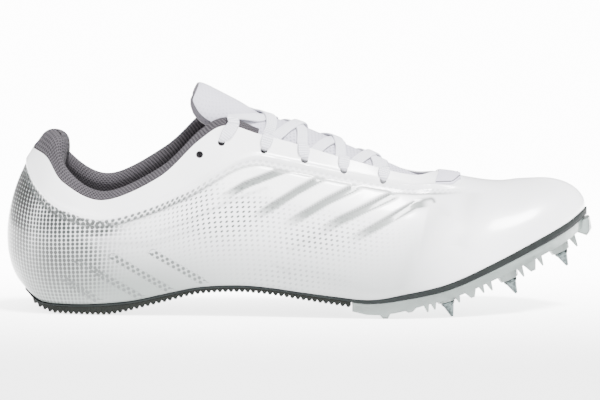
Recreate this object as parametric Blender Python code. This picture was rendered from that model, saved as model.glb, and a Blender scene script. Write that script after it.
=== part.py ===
"""Track spike shoe for the right foot.

The toe points along +X, the outer side of the foot faces -Y and the shoe stands on Z = 0.
A hollow upper sits on a thin midsole; a toothed rubber piece carries the heel and a moulded
plate with lugs and screw-in pins carries the forefoot.
"""
import math
from typing import NamedTuple

import bmesh
import bpy
from mathutils import Matrix, Vector

# Driving sizes of the last, in metres
LENGTH = 0.280
BALL_WIDTH = 0.090
INSTEP_HEIGHT = 0.089
HEEL_HEIGHT = 0.077
HEEL_STACK = 0.0046
ARCH_RISE = 0.0100
TOE_SPRING = 0.0440

# Walls, layers and clearances
GAP = 0.0003
WALL = 0.0018
OVERLAY = 0.0007
MIDSOLE_REVEAL = 0.0009
INSOLE_THICKNESS = 0.0030
INSOLE_CHAMFER = 0.0018
INSOLE_TOE_ROOM = 0.0040
INSOLE_HEEL_ROOM = 0.0012
INSOLE_SIDE_ROOM = 0.0005

# Padded collar
COLLAR_SKIRT_ROW = 4

# Tongue
TONGUE_TIP_THICKNESS = 0.0014
TONGUE_TOP_THICKNESS = 0.0040
TONGUE_OVERLAP = 0.14
TONGUE_TILT = math.radians(28.0)
TONGUE_HALF_WIDTH = 0.0185
TONGUE_DROP = 0.0165

# Lace and eyelets
LACE_WIDTH = 0.0048
LACE_THICKNESS = 0.0012
LACE_CLEARANCE = 0.0010
LACE_CREST_ROOM = 0.0004
LACE_TURN = 0.18
LACE_STEPS = 6
EYELET_DIAMETER = 0.0034
EYELET_SIDES = 8

# Rubber heel and midfoot
RUBBER_BACK = -0.1275
RUBBER_FRONT = 0.0240
RUBBER_INSET = 0.0006
RUBBER_UNDERCUT = 0.0012
TOOTH_PITCH = 0.0026
TOOTH_DEPTH = 0.0012

# Spike plate, lugs and pins
PLATE_INSET = 0.0004
PLATE_RIM = 0.0090
PLATE_WEB = 0.0026
PLATE_TOE_INSET = 0.0008
LUG_ROOT = 0.0012
BOSS_ROOT = 0.0030
BOSS_BASE_RADIUS = 0.0062
BOSS_TOP_RADIUS = 0.0045
PIN_FLANGE_RADIUS = 0.0033
PIN_FLANGE = 0.0010
PIN_HEIGHT = 0.0062
PIN_TIP_RADIUS = 0.0006
PIN_SHANK_RADIUS = 0.0020
PIN_SHANK = 0.0030
PIN_SIDES = 8
BOSS_SIDES = 10

# Mesh density
COLUMNS_PER_SECTION = 3
ROWS_BELOW_PANEL = 5
ROWS_ABOVE_PANEL = 2
PANEL_EDGE = 0.022
DECK_STATIONS = 44
END_TRIM = 0.00005
PLATE_STATIONS = 26


class Section(NamedTuple):
    """One section of the upper, from the sole edge up to the top edge or the ridge."""

    name: str
    foot_x: float    # share of LENGTH
    foot_y: float    # share of BALL_WIDTH
    top_x: float     # share of LENGTH
    top_y: float     # share of BALL_WIDTH
    instep: float    # share of INSTEP_HEIGHT
    heel: float      # share of HEEL_HEIGHT
    out_low: float   # lower handle outwards, share of BALL_WIDTH
    up_low: float    # lower handle upwards, share of the section's height
    out_top: float   # upper handle outwards, share of BALL_WIDTH
    down_top: float  # upper handle downwards, share of the section's height
    panel: float     # height share where the eyestay and collar panel begins
    step: float      # share of OVERLAY that the panel stands proud


TOE_TIP = Section("toe_tip", 0.489, 0.067, 0.400, 0.056, 0.700, 0.0, 0.006, 0.51, 0.178, -0.11, 0.75, 0.0)
HEEL_BACK = Section("heel_back", -0.466, 0.0, -0.452, 0.0, 0.0, 1.0, 0.150, 0.14, 0.183, 0.415, 0.92, 1.0)

LATERAL = (
    Section("toe_front", 0.470, -0.083, 0.391, 0.053, 0.700, 0.0, 0.009, 0.50, 0.167, -0.03, 0.75, 0.0),
    Section("toe_corner", 0.427, -0.239, 0.371, 0.050, 0.697, 0.0, 0.011, 0.47, 0.190, 0.00, 0.76, 0.0),
    Section("little_toe", 0.350, -0.378, 0.336, 0.044, 0.688, 0.0, 0.022, 0.40, 0.222, 0.00, 0.77, 0.0),
    Section("ball_front", 0.264, -0.467, 0.286, 0.039, 0.708, 0.0, 0.033, 0.33, 0.267, 0.03, 0.78, 0.0),
    Section("throat_end", 0.179, -0.500, 0.236, 0.028, 0.729, 0.0, 0.033, 0.28, 0.278, 0.10, 0.79, 1.0),
    Section("ball_back", 0.114, -0.489, 0.186, -0.111, 0.724, 0.0, 0.033, 0.27, 0.190, 0.17, 0.85, 1.0),
    Section("midfoot", 0.029, -0.450, 0.086, -0.172, 0.807, 0.0, 0.039, 0.33, 0.156, 0.25, 0.85, 1.0),
    Section("instep", -0.064, -0.406, -0.007, -0.206, 0.898, 0.0, 0.044, 0.33, 0.122, 0.30, 0.84, 1.0),
    Section("eyestay_top", -0.129, -0.383, -0.070, -0.228, 0.953, 0.0, 0.050, 0.33, 0.106, 0.33, 0.83, 1.0),
    Section("collar_peak", -0.179, -0.367, -0.125, -0.256, 1.000, 0.0, 0.056, 0.32, 0.089, 0.33, 0.69, 1.0),
    Section("collar_front", -0.225, -0.356, -0.171, -0.289, 0.916, 0.0, 0.061, 0.30, 0.067, 0.32, 0.67, 1.0),
    Section("dip_front", -0.275, -0.344, -0.236, -0.333, 0.730, 0.0, 0.067, 0.29, 0.039, 0.31, 0.76, 1.0),
    Section("dip", -0.339, -0.328, -0.329, -0.328, 0.0, 0.704, 0.072, 0.29, 0.039, 0.29, 0.80, 1.0),
    Section("rear", -0.393, -0.283, -0.396, -0.272, 0.0, 0.805, 0.083, 0.25, 0.078, 0.31, 0.78, 1.0),
    Section("heel_side", -0.436, -0.183, -0.425, -0.178, 0.0, 0.952, 0.111, 0.18, 0.122, 0.36, 0.80, 1.0),
)

MEDIAL = (
    Section("toe_front", 0.479, 0.200, 0.391, 0.053, 0.700, 0.0, 0.011, 0.50, 0.167, -0.03, 0.75, 0.0),
    Section("toe_corner", 0.446, 0.328, 0.371, 0.050, 0.697, 0.0, 0.017, 0.50, 0.190, 0.00, 0.76, 0.0),
    Section("big_toe", 0.375, 0.428, 0.336, 0.044, 0.688, 0.0, 0.025, 0.45, 0.230, 0.00, 0.77, 0.0),
    Section("ball_front", 0.286, 0.467, 0.286, 0.039, 0.708, 0.0, 0.030, 0.38, 0.267, -0.02, 0.78, 0.0),
    Section("throat_end", 0.200, 0.456, 0.236, 0.028, 0.729, 0.0, 0.030, 0.33, 0.267, 0.04, 0.79, 1.0),
    Section("ball_back", 0.121, 0.417, 0.186, 0.150, 0.730, 0.0, 0.033, 0.31, 0.178, 0.15, 0.85, 1.0),
    Section("midfoot", 0.029, 0.350, 0.086, 0.206, 0.826, 0.0, 0.056, 0.30, 0.144, 0.25, 0.85, 1.0),
    Section("instep", -0.064, 0.311, -0.007, 0.228, 0.927, 0.0, 0.067, 0.30, 0.122, 0.30, 0.84, 1.0),
    Section("eyestay_top", -0.129, 0.306, -0.070, 0.239, 0.989, 0.0, 0.072, 0.30, 0.106, 0.32, 0.83, 1.0),
    Section("collar_peak", -0.179, 0.311, -0.125, 0.261, 1.045, 0.0, 0.072, 0.30, 0.089, 0.33, 0.69, 1.0),
    Section("collar_front", -0.225, 0.317, -0.171, 0.283, 0.978, 0.0, 0.072, 0.30, 0.067, 0.32, 0.67, 1.0),
    Section("dip_front", -0.275, 0.322, -0.236, 0.311, 0.798, 0.0, 0.072, 0.29, 0.044, 0.31, 0.76, 1.0),
    Section("dip", -0.339, 0.317, -0.329, 0.311, 0.0, 0.764, 0.075, 0.29, 0.044, 0.29, 0.80, 1.0),
    Section("rear", -0.393, 0.278, -0.396, 0.267, 0.0, 0.857, 0.083, 0.25, 0.078, 0.31, 0.78, 1.0),
    Section("heel_side", -0.436, 0.183, -0.425, 0.178, 0.0, 0.974, 0.111, 0.18, 0.122, 0.36, 0.80, 1.0),
)

# The sections in a closed ring: toe tip, outer side, heel back, inner side
RING = (TOE_TIP,) + LATERAL + (HEEL_BACK,) + MEDIAL[::-1]
RING_SIZE = len(RING)
HALF_RING = RING_SIZE // 2
RIDGE_END = 5.0
COLLAR_START = 9.0


class SoleRow(NamedTuple):
    """Height of the line where the upper meets the midsole."""

    x: float      # share of LENGTH
    stack: float  # share of HEEL_STACK
    arch: float   # share of ARCH_RISE
    toe: float    # share of TOE_SPRING


SOLE_LINE = (
    SoleRow(-0.470, 1.0, 0.55, 0.0),
    SoleRow(-0.462, 1.0, 0.42, 0.0),
    SoleRow(-0.452, 1.0, 0.20, 0.0),
    SoleRow(-0.439, 1.0, 0.04, 0.0),
    SoleRow(-0.400, 1.0, 0.00, 0.0),
    SoleRow(-0.336, 1.0, 0.06, 0.0),
    SoleRow(-0.280, 1.0, 0.22, 0.0),
    SoleRow(-0.224, 1.0, 0.57, 0.0),
    SoleRow(-0.168, 1.0, 0.89, 0.0),
    SoleRow(-0.100, 1.0, 0.99, 0.0),
    SoleRow(-0.050, 1.0, 0.90, 0.0),
    SoleRow(0.000, 1.0, 0.72, 0.0),
    SoleRow(0.055, 1.0, 0.50, 0.01),
    SoleRow(0.116, 1.0, 0.00, 0.091),
    SoleRow(0.166, 1.0, 0.00, 0.139),
    SoleRow(0.250, 1.0, 0.00, 0.264),
    SoleRow(0.334, 1.0, 0.00, 0.493),
    SoleRow(0.400, 1.0, 0.00, 0.692),
    SoleRow(0.436, 1.0, 0.00, 0.800),
    SoleRow(0.461, 1.0, 0.00, 0.878),
    SoleRow(0.486, 1.0, 0.00, 0.972),
    SoleRow(0.500, 1.0, 0.00, 1.010),
)


class DepthRow(NamedTuple):
    """Depth of a sole layer at one place, in metres."""

    x: float      # share of LENGTH
    depth: float


MIDSOLE_DEPTH = (
    DepthRow(-0.470, 0.0008),
    DepthRow(-0.200, 0.0009),
    DepthRow(0.050, 0.0010),
    DepthRow(0.116, 0.0015),
    DepthRow(0.180, 0.0021),
    DepthRow(0.250, 0.0026),
    DepthRow(0.340, 0.0030),
    DepthRow(0.436, 0.0034),
    DepthRow(0.500, 0.0036),
)

# From the sole line down to the tooth tips
RUBBER_DEPTH = (
    DepthRow(-0.470, 0.0030),
    DepthRow(-0.439, 0.0034),
    DepthRow(-0.410, 0.0048),
    DepthRow(-0.330, 0.0054),
    DepthRow(-0.300, 0.0048),
    DepthRow(-0.266, 0.0040),
    DepthRow(-0.224, 0.0037),
    DepthRow(-0.168, 0.0031),
    DepthRow(-0.084, 0.0031),
    DepthRow(0.000, 0.0034),
    DepthRow(0.100, 0.0041),
)

# Rim of the plate, below the midsole
PLATE_DEPTH = (
    DepthRow(0.085, 0.0040),
    DepthRow(0.110, 0.0049),
    DepthRow(0.143, 0.0054),
    DepthRow(0.185, 0.0050),
    DepthRow(0.210, 0.0041),
    DepthRow(0.250, 0.0042),
    DepthRow(0.340, 0.0046),
    DepthRow(0.430, 0.0048),
    DepthRow(0.500, 0.0042),
)


class Lug(NamedTuple):
    """A pair of moulded lugs, one near each edge of the plate."""

    name: str
    x: float       # share of LENGTH
    inboard: float
    length: float
    width: float
    drop: float
    tip: float     # share of the length left at the tip


FLOOR_LUG = Lug("floor_lug", 0.143, 0.0042, 0.0066, 0.0070, 0.0, 0.34)
LUGS = (
    Lug("second_lug", 0.184, 0.0042, 0.0082, 0.0070, 0.0013, 0.25),
    Lug("fang_1", 0.211, 0.0034, 0.0034, 0.0050, 0.0036, 0.20),
    Lug("fang_2", 0.223, 0.0036, 0.0034, 0.0050, 0.0032, 0.20),
    Lug("fang_3", 0.263, 0.0036, 0.0034, 0.0050, 0.0032, 0.20),
    Lug("third_lug", 0.285, 0.0038, 0.0070, 0.0060, 0.0034, 0.25),
    Lug("fang_4", 0.303, 0.0034, 0.0032, 0.0050, 0.0036, 0.20),
    Lug("fang_5", 0.316, 0.0034, 0.0034, 0.0050, 0.0042, 0.20),
    Lug("fang_6", 0.369, 0.0034, 0.0036, 0.0046, 0.0050, 0.20),
    Lug("fourth_lug", 0.386, 0.0036, 0.0078, 0.0056, 0.0046, 0.30),
    Lug("fang_7", 0.403, 0.0036, 0.0034, 0.0046, 0.0046, 0.20),
    Lug("fang_8", 0.463, 0.0046, 0.0042, 0.0044, 0.0060, 0.20),
)
CENTRE_LUGS = (
    Lug("centre_1", 0.190, 0.0, 0.0060, 0.0100, 0.0022, 0.30),
    Lug("centre_2", 0.235, 0.0, 0.0056, 0.0100, 0.0028, 0.30),
    Lug("centre_3", 0.280, 0.0, 0.0056, 0.0100, 0.0030, 0.30),
    Lug("centre_4", 0.325, 0.0, 0.0052, 0.0090, 0.0034, 0.30),
    Lug("centre_5", 0.370, 0.0, 0.0048, 0.0080, 0.0036, 0.30),
    Lug("centre_6", 0.415, 0.0, 0.0044, 0.0070, 0.0038, 0.30),
)


class ToeLugPoint(NamedTuple):
    """Corner of the toe lug's side profile."""

    ahead: float  # from the toe end of the sole
    below: float  # from the underside of the midsole


TOE_LUG_WIDTH = 0.0120
TOE_LUG_PROFILE = (
    ToeLugPoint(-0.0060, 0.0036),
    ToeLugPoint(-0.0062, 0.0010),
    ToeLugPoint(-0.0010, 0.0010),
    ToeLugPoint(0.0020, 0.0008),
    ToeLugPoint(0.0030, 0.0068),
    ToeLugPoint(0.0020, 0.0086),
    ToeLugPoint(0.0006, 0.0092),
    ToeLugPoint(-0.0026, 0.0066),
)


class PinPlace(NamedTuple):
    """A screw-in pin on its moulded boss."""

    name: str
    x: float        # share of LENGTH
    inboard: float
    side: int       # -1 outer, 1 inner
    boss: float     # height of the boss, 0 where the pin has to reach the floor


PINS = (
    PinPlace("lateral_1", 0.246, 0.0088, -1, 0.0),
    PinPlace("lateral_2", 0.348, 0.0082, -1, 0.0036),
    PinPlace("lateral_3", 0.438, 0.0082, -1, 0.0040),
    PinPlace("medial_1", 0.246, 0.0088, 1, 0.0),
    PinPlace("medial_2", 0.348, 0.0082, 1, 0.0036),
    PinPlace("medial_3", 0.438, 0.0088, 1, 0.0040),
)


class EyeletPlace(NamedTuple):
    """An eyelet on the eyestay, the same on both sides."""

    section: float  # place along the ring of sections
    height: float   # share of the way up the section


EYELETS = (
    EyeletPlace(10.80, 0.885),
    EyeletPlace(10.00, 0.895),
    EyeletPlace(8.72, 0.905),
    EyeletPlace(7.74, 0.900),
    EyeletPlace(7.05, 0.892),
    EyeletPlace(6.40, 0.885),
)
EMPTY_EYELETS = 1


class TongueTop(NamedTuple):
    """A section of the tongue above the eyestay."""

    x: float      # share of LENGTH
    z: float      # share of INSTEP_HEIGHT
    width: float  # share of TONGUE_HALF_WIDTH
    drop: float   # share of TONGUE_DROP


TONGUE_TOP = (
    TongueTop(-0.096, 1.104, 0.95, 0.95),
    TongueTop(-0.125, 1.153, 0.98, 1.00),
    TongueTop(-0.148, 1.190, 1.00, 0.92),
    TongueTop(-0.164, 1.216, 0.97, 0.72),
    TongueTop(-0.171, 1.222, 0.86, 0.52),
)
TONGUE_START = 5.35
TONGUE_STATIONS = 11
TONGUE_SIDE_POINTS = 2
TONGUE_BRIDGE_POINTS = 7
BRIDGE_HANDLE = 0.36

PATCH_START = 4.25
PATCH_END = 4.95
PATCH_HEIGHT = 0.81
PATCH_THICKNESS = 0.0008
PATCH_STATIONS = 6
PATCH_HALF_POINTS = 4


def catmull(before, start, end, after, t):
    """Smooth value between start and end."""
    return 0.5 * (
        2.0 * start
        + (end - before) * t
        + (2.0 * before - 5.0 * start + 4.0 * end - after) * t * t
        + (3.0 * start - before - 3.0 * end + after) * t ** 3
    )


def along(rows, x):
    """Smooth height through (x, value) pairs that run from heel to toe."""
    last = len(rows) - 1
    x = min(max(x, rows[0][0]), rows[last][0])
    i = 0
    while i < last - 1 and x > rows[i + 1][0]:
        i += 1
    span = rows[i + 1][0] - rows[i][0]
    t = (x - rows[i][0]) / span
    slopes = []
    for k in (i, i + 1):
        low = max(k - 1, 0)
        high = min(k + 1, last)
        slopes.append((rows[high][1] - rows[low][1]) / (rows[high][0] - rows[low][0]))
    start = rows[i][1]
    rise = rows[i + 1][1] - start
    first = slopes[0] * span
    second = slopes[1] * span
    return start + t * (first + t * ((3.0 * rise - 2.0 * first - second) + t * (first + second - 2.0 * rise)))


SOLE_HEIGHTS = tuple(
    (row.x * LENGTH, row.stack * HEEL_STACK + row.arch * ARCH_RISE + row.toe * TOE_SPRING)
    for row in SOLE_LINE
)
MIDSOLE_DEPTHS = tuple((row.x * LENGTH, row.depth) for row in MIDSOLE_DEPTH)
RUBBER_DEPTHS = tuple((row.x * LENGTH, row.depth) for row in RUBBER_DEPTH)
PLATE_DEPTHS = tuple((row.x * LENGTH, row.depth) for row in PLATE_DEPTH)


def sole_line(x):
    """Top of the midsole."""
    return along(SOLE_HEIGHTS, x)


def midsole_under(x):
    """Underside of the midsole."""
    return sole_line(x) - along(MIDSOLE_DEPTHS, x)


def plate_under(x):
    """Underside of the plate's rim."""
    return midsole_under(x) - GAP - along(PLATE_DEPTHS, x)


def ring_value(r, size):
    """Smooth value of size(section) at place r along the closed ring."""
    base = math.floor(r)
    values = [size(RING[(base + k) % RING_SIZE]) for k in (-1, 0, 1, 2)]
    return catmull(*values, r - base)


def foot_xy(r):
    """Plan of the line where the upper meets the midsole."""
    return Vector((
        ring_value(r, lambda s: s.foot_x) * LENGTH,
        ring_value(r, lambda s: s.foot_y) * BALL_WIDTH,
        0.0,
    ))


def outward(r):
    """Horizontal direction away from the foot."""
    ahead = foot_xy(r + 0.05)
    behind = foot_xy(r - 0.05)
    tangent = (ahead - behind).normalized()
    return Vector((-tangent.y, tangent.x, 0.0))


def one_top(r):
    """Top point of one side, before the two sides meet on the ridge."""
    height = ring_value(r, lambda s: s.instep * INSTEP_HEIGHT + s.heel * HEEL_HEIGHT)
    return Vector((
        ring_value(r, lambda s: s.top_x) * LENGTH,
        ring_value(r, lambda s: s.top_y) * BALL_WIDTH,
        height,
    ))


def on_ridge(r):
    """Whether place r lies where the two sides are closed over the toes."""
    wrapped = r % RING_SIZE
    return min(wrapped, RING_SIZE - wrapped) <= RIDGE_END + 1e-6


def top_point(r):
    """Top edge, or the shared ridge over the toes."""
    if on_ridge(r):
        return (one_top(r) + one_top(-r)) / 2.0
    return one_top(r)


def shell(r, v):
    """Outer surface of the upper without its raised panel."""
    foot = foot_xy(r)
    foot.z = sole_line(foot.x) + GAP
    top = top_point(r)
    away = outward(r)
    rise = top.z - foot.z
    lean = Vector((max(top.x - foot.x, 0.0) / 3.0, 0.0, 0.0))
    low = foot + lean + away * (ring_value(r, lambda s: s.out_low) * BALL_WIDTH)
    low.z += ring_value(r, lambda s: s.up_low) * rise
    high = top - lean + away * (ring_value(r, lambda s: s.out_top) * BALL_WIDTH)
    high.z -= ring_value(r, lambda s: s.down_top) * rise
    w = 1.0 - v
    return w ** 3 * foot + 3.0 * w * w * v * low + 3.0 * w * v * v * high + v ** 3 * top


def one_normal(r, v):
    """Outward normal of one side."""
    v = min(max(v, 0.01), 0.985)
    across = shell(r + 0.02, v) - shell(r - 0.02, v)
    upward = shell(r, v + 0.01) - shell(r, v - 0.01)
    return upward.cross(across).normalized()


def normal(r, v):
    """Outward normal, shared where the sides meet on the ridge."""
    if v > 0.999 and on_ridge(r):
        return (one_normal(r, v) + one_normal(-r, v)).normalized()
    return one_normal(r, v)


def panel_height(r):
    """Height share of the lower edge of the raised panel."""
    return ring_value(r, lambda s: s.panel)


def raised(r, v):
    """How far the panel stands proud of the shell."""
    if v < panel_height(r) + 0.5 * PANEL_EDGE:
        return 0.0
    share = min(max(ring_value(r, lambda s: s.step), 0.0), 1.0)
    return OVERLAY * share


def skin(r, v, height=0.0):
    """Point above the outer face of the upper."""
    return shell(r, v) + normal(r, v) * (raised(r, v) + height)


def inside(r, v, depth):
    """Point below the plain shell, measured into the shoe."""
    return shell(r, v) - normal(r, v) * depth


def levels(r):
    """Height shares of the grid rows, with a pair at the panel's edge."""
    panel = panel_height(r)
    low = [panel * k / ROWS_BELOW_PANEL for k in range(ROWS_BELOW_PANEL + 1)]
    start = panel + PANEL_EDGE
    high = [start + (1.0 - start) * k / ROWS_ABOVE_PANEL for k in range(ROWS_ABOVE_PANEL + 1)]
    return low + high


def offset_xy(r, inset):
    """Plan edge of the sole, moved towards the foot by the inset."""
    return foot_xy(r) - outward(r) * inset


def edge_y(side, x, inset=0.0):
    """Plan edge of the sole at x, on the outer (-1) or inner (1) side."""
    low = 0.0
    high = float(HALF_RING)
    for _ in range(30):
        middle = 0.5 * (low + high)
        if offset_xy(-side * middle, inset).x > x:
            low = middle
        else:
            high = middle
    return offset_xy(-side * low, inset).y


TOE_END = foot_xy(0.0).x
HEEL_END = foot_xy(HALF_RING).x


def material(name, colour, roughness, metallic=0.0, transmission=0.0):
    """Principled material."""
    made = bpy.data.materials.new(name)
    made.use_nodes = True
    shader = made.node_tree.nodes["Principled BSDF"]
    shader.inputs["Base Color"].default_value = (*colour, 1.0)
    shader.inputs["Roughness"].default_value = roughness
    shader.inputs["Metallic"].default_value = metallic
    shader.inputs["Transmission Weight"].default_value = transmission
    made.diffuse_color = (*colour, 1.0)
    return made


def add_mesh(name, points, faces, finish, smooth_angle=math.radians(35.0)):
    """Object from points and faces, closed, with its faces pointing out."""
    mesh = bpy.data.meshes.new(name)
    shape = bmesh.new()
    corners = [shape.verts.new(point) for point in points]
    for face in faces:
        if len(set(face)) > 2:
            shape.faces.new([corners[k] for k in face])
    bmesh.ops.remove_doubles(shape, verts=shape.verts, dist=1e-6)
    bmesh.ops.recalc_face_normals(shape, faces=shape.faces)
    shape.to_mesh(mesh)
    shape.free()
    mesh.shade_smooth()
    mesh.set_sharp_from_angle(angle=smooth_angle)
    mesh.materials.append(finish)
    made = bpy.data.objects.new(name, mesh)
    bpy.context.scene.collection.objects.link(made)
    return made


def halves(a, b, c, d):
    """Two triangles of a quad, split from its first corner."""
    return [(a, b, c), (a, c, d)]


def loft(name, loops, finish, closed=False):
    """Solid skinned through loops of equal length, capped at its ends."""
    count = len(loops[0])
    points = [point for loop in loops for point in loop]
    faces = []
    spans = len(loops) if closed else len(loops) - 1
    for i in range(spans):
        first = i * count
        second = ((i + 1) % len(loops)) * count
        for k in range(count):
            n = (k + 1) % count
            faces += halves(first + k, first + n, second + n, second + k)
    if not closed:
        faces.append(tuple(range(count)))
        faces.append(tuple(reversed(range(len(points) - count, len(points)))))
    return add_mesh(name, points, faces, finish)


def combine(target, others, operation):
    """Join or cut the target with other solids and remove them."""
    for other in others:
        change = target.modifiers.new(operation.lower(), "BOOLEAN")
        change.operation = operation
        change.solver = "EXACT"
        change.object = other
        bpy.context.view_layer.update()
        evaluated = target.evaluated_get(bpy.context.evaluated_depsgraph_get())
        result = bpy.data.meshes.new_from_object(evaluated)
        target.modifiers.remove(change)
        target.data = result
        bpy.data.objects.remove(other)


def prism(name, centre, axis, stops, sides, finish):
    """Turned solid along an axis through (distance, radius) stops."""
    turn = axis.to_track_quat("Z", "Y")
    loops = []
    for distance, radius in stops:
        loop = []
        for k in range(sides):
            angle = 2.0 * math.pi * (k + 0.5) / sides
            local = Vector((radius * math.cos(angle), radius * math.sin(angle), distance))
            loop.append(centre + turn @ local)
        loops.append(loop)
    return loft(name, loops, finish)


def build_upper(finish):
    """Hollow shell, open at the collar, the throat and underneath."""
    columns = RING_SIZE * COLUMNS_PER_SECTION
    places = [k / COLUMNS_PER_SECTION for k in range(columns)]
    rows = len(levels(0.0))
    points = []
    for r in places:
        heights = levels(r)
        points += [skin(r, v) for v in heights]
        points += [inside(r, v, WALL) for v in heights]
    faces = []
    stride = 2 * rows
    for c in range(columns):
        here = c * stride
        there = ((c + 1) % columns) * stride
        for k in range(rows - 1):
            faces += halves(here + k, there + k, there + k + 1, here + k + 1)
            inner = rows + k
            faces += halves(here + inner, here + inner + 1, there + inner + 1, there + inner)
        faces += halves(here, here + rows, there + rows, there)
        middle = places[c] + 0.5 / COLUMNS_PER_SECTION
        if not on_ridge(middle):
            rim = rows - 1
            faces += halves(here + rim, there + rim, there + rim + rows, here + rim + rows)
    upper = add_mesh("upper", points, faces, finish)
    cutters = []
    for side in (1, -1):
        for place in EYELETS:
            r = side * place.section
            centre = shell(r, place.height)
            stops = ((-3.0 * WALL, EYELET_DIAMETER / 2), (3.0 * WALL, EYELET_DIAMETER / 2))
            cutters.append(prism("eyelet_cutter", centre, normal(r, place.height), stops, EYELET_SIDES, finish))
    combine(upper, cutters, "DIFFERENCE")
    return upper


class CollarRow(NamedTuple):
    """Size of the collar padding at one place, the same on both sides."""

    section: float  # place along the ring of sections
    roll: float     # height above the top edge
    pad: float      # depth inwards


COLLAR_SIZE = (
    CollarRow(COLLAR_START, 0.0028, 0.0025),
    CollarRow(10.0, 0.0042, 0.0029),
    CollarRow(11.0, 0.0064, 0.0042),
    CollarRow(12.0, 0.0056, 0.0050),
    CollarRow(13.0, 0.0046, 0.0052),
    CollarRow(14.0, 0.0072, 0.0062),
    CollarRow(15.0, 0.0110, 0.0082),
    CollarRow(HALF_RING, 0.0126, 0.0096),
)
COLLAR_ROLLS = tuple((row.section, row.roll) for row in COLLAR_SIZE)
COLLAR_PADS = tuple((row.section, row.pad) for row in COLLAR_SIZE)


class RollPoint(NamedTuple):
    """Point of the collar's padded roll."""

    rise: float   # share of the roll's height above the top edge
    depth: float  # share of the pad's depth inwards from the outer face


ROLL = (
    RollPoint(0.30, -0.03),
    RollPoint(0.68, 0.03),
    RollPoint(0.94, 0.26),
    RollPoint(1.00, 0.62),
    RollPoint(0.84, 1.02),
    RollPoint(0.36, 1.32),
)


def collar_loop(r):
    """Section of the padded collar: a roll on the edge and a skirt down the inside."""
    wrapped = r % RING_SIZE
    place = min(wrapped, RING_SIZE - wrapped)
    pad = along(COLLAR_PADS, place)
    roll = along(COLLAR_ROLLS, place)
    edge = shell(r, 1.0)
    away = normal(r, 1.0)
    upward = (shell(r, 1.0) - shell(r, 0.97)).normalized()
    heights = levels(r)[COLLAR_SKIRT_ROW:]
    skirt = heights[0]
    wall_side = [inside(r, v, WALL + GAP) for v in heights[:-1]]
    seat = [
        edge - away * (WALL + GAP) + upward * GAP,
        edge + away * (OVERLAY * 0.5) + upward * GAP,
    ]
    rolled = [edge - away * (pad * p.depth) + upward * (GAP + roll * p.rise) for p in ROLL]
    room_side = [
        inside(r, 0.985, WALL + GAP + pad * 0.98),
        inside(r, 0.5 * (0.985 + skirt), WALL + GAP + pad * 0.80),
        inside(r, skirt, WALL + GAP + pad * 0.30),
    ]
    return wall_side + seat + rolled + room_side


def build_collar(finish):
    """Padded textile collar from one end of the throat to the other."""
    first = round(COLLAR_START * COLUMNS_PER_SECTION)
    last = RING_SIZE * COLUMNS_PER_SECTION - first
    loops = [collar_loop(k / COLUMNS_PER_SECTION) for k in range(first, last + 1)]
    return loft("collar_lining", loops, finish)


def arch(start, start_pull, end, end_pull, share):
    """Arched curve between two points with a pull at each end."""
    low = start + start_pull
    high = end + end_pull
    w = 1.0 - share
    return w ** 3 * start + 3.0 * w * w * share * low + 3.0 * w * share * share * high + share ** 3 * end


def bridge(start, start_way, end, end_way, share):
    """Arched curve over the instep between two eyestay edges."""
    handle = (end - start).length * BRIDGE_HANDLE
    return arch(start, start_way * handle, end, end_way * handle, share)


def tongue_depth(r):
    """Depth of the tongue's face below the shell, deeper where the collar lies between."""
    clear = WALL + GAP
    under_collar = WALL + 3.0 * GAP + COLLAR_SIZE[0].pad
    share = min(max((r - (COLLAR_START - 1.0)) / 0.8, 0.0), 1.0)
    return clear + (under_collar - clear) * share


def eyestay_way(r):
    """Direction in which the shell runs on past its throat edge."""
    return (shell(r, 1.0) - shell(r, 0.95)).normalized()


def tongue_face(r):
    """Outer face of the tongue between and under the eyestays."""
    depth = tongue_depth(r)
    under = [1.0 - TONGUE_OVERLAP * (1.0 - k / TONGUE_SIDE_POINTS) for k in range(TONGUE_SIDE_POINTS)]
    outer = [inside(r, v, depth) for v in under]
    inner = [inside(-r, v, depth) for v in under]
    start = inside(r, 1.0, depth)
    end = inside(-r, 1.0, depth)
    count = TONGUE_BRIDGE_POINTS + 1
    over = [bridge(start, eyestay_way(r), end, eyestay_way(-r), k / count) for k in range(count + 1)]
    return outer + over + inner[::-1]


def tongue_top_face(row):
    """Outer face of the tongue above the eyestays, an arch across the ankle."""
    centre = Vector((row.x * LENGTH, 0.0, row.z * INSTEP_HEIGHT))
    front = Vector((math.sin(TONGUE_TILT), 0.0, math.cos(TONGUE_TILT)))
    count = 2 * TONGUE_SIDE_POINTS + TONGUE_BRIDGE_POINTS + 1
    points = []
    for k in range(count + 1):
        angle = math.pi * (k / count - 0.5)
        sideways = Vector((0.0, math.sin(angle) * row.width * TONGUE_HALF_WIDTH, 0.0))
        points.append(centre + sideways - front * ((1.0 - math.cos(angle)) * row.drop * TONGUE_DROP))
    return points


def face_normals(faces):
    """Upward normals of a grid of points, row by row."""
    rows = len(faces)
    count = len(faces[0])
    result = []
    for i in range(rows):
        line = []
        for k in range(count):
            ahead = faces[min(i + 1, rows - 1)][k] - faces[max(i - 1, 0)][k]
            across = faces[i][min(k + 1, count - 1)] - faces[i][max(k - 1, 0)]
            line.append(across.cross(ahead).normalized())
        result.append(line)
    return result


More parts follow.
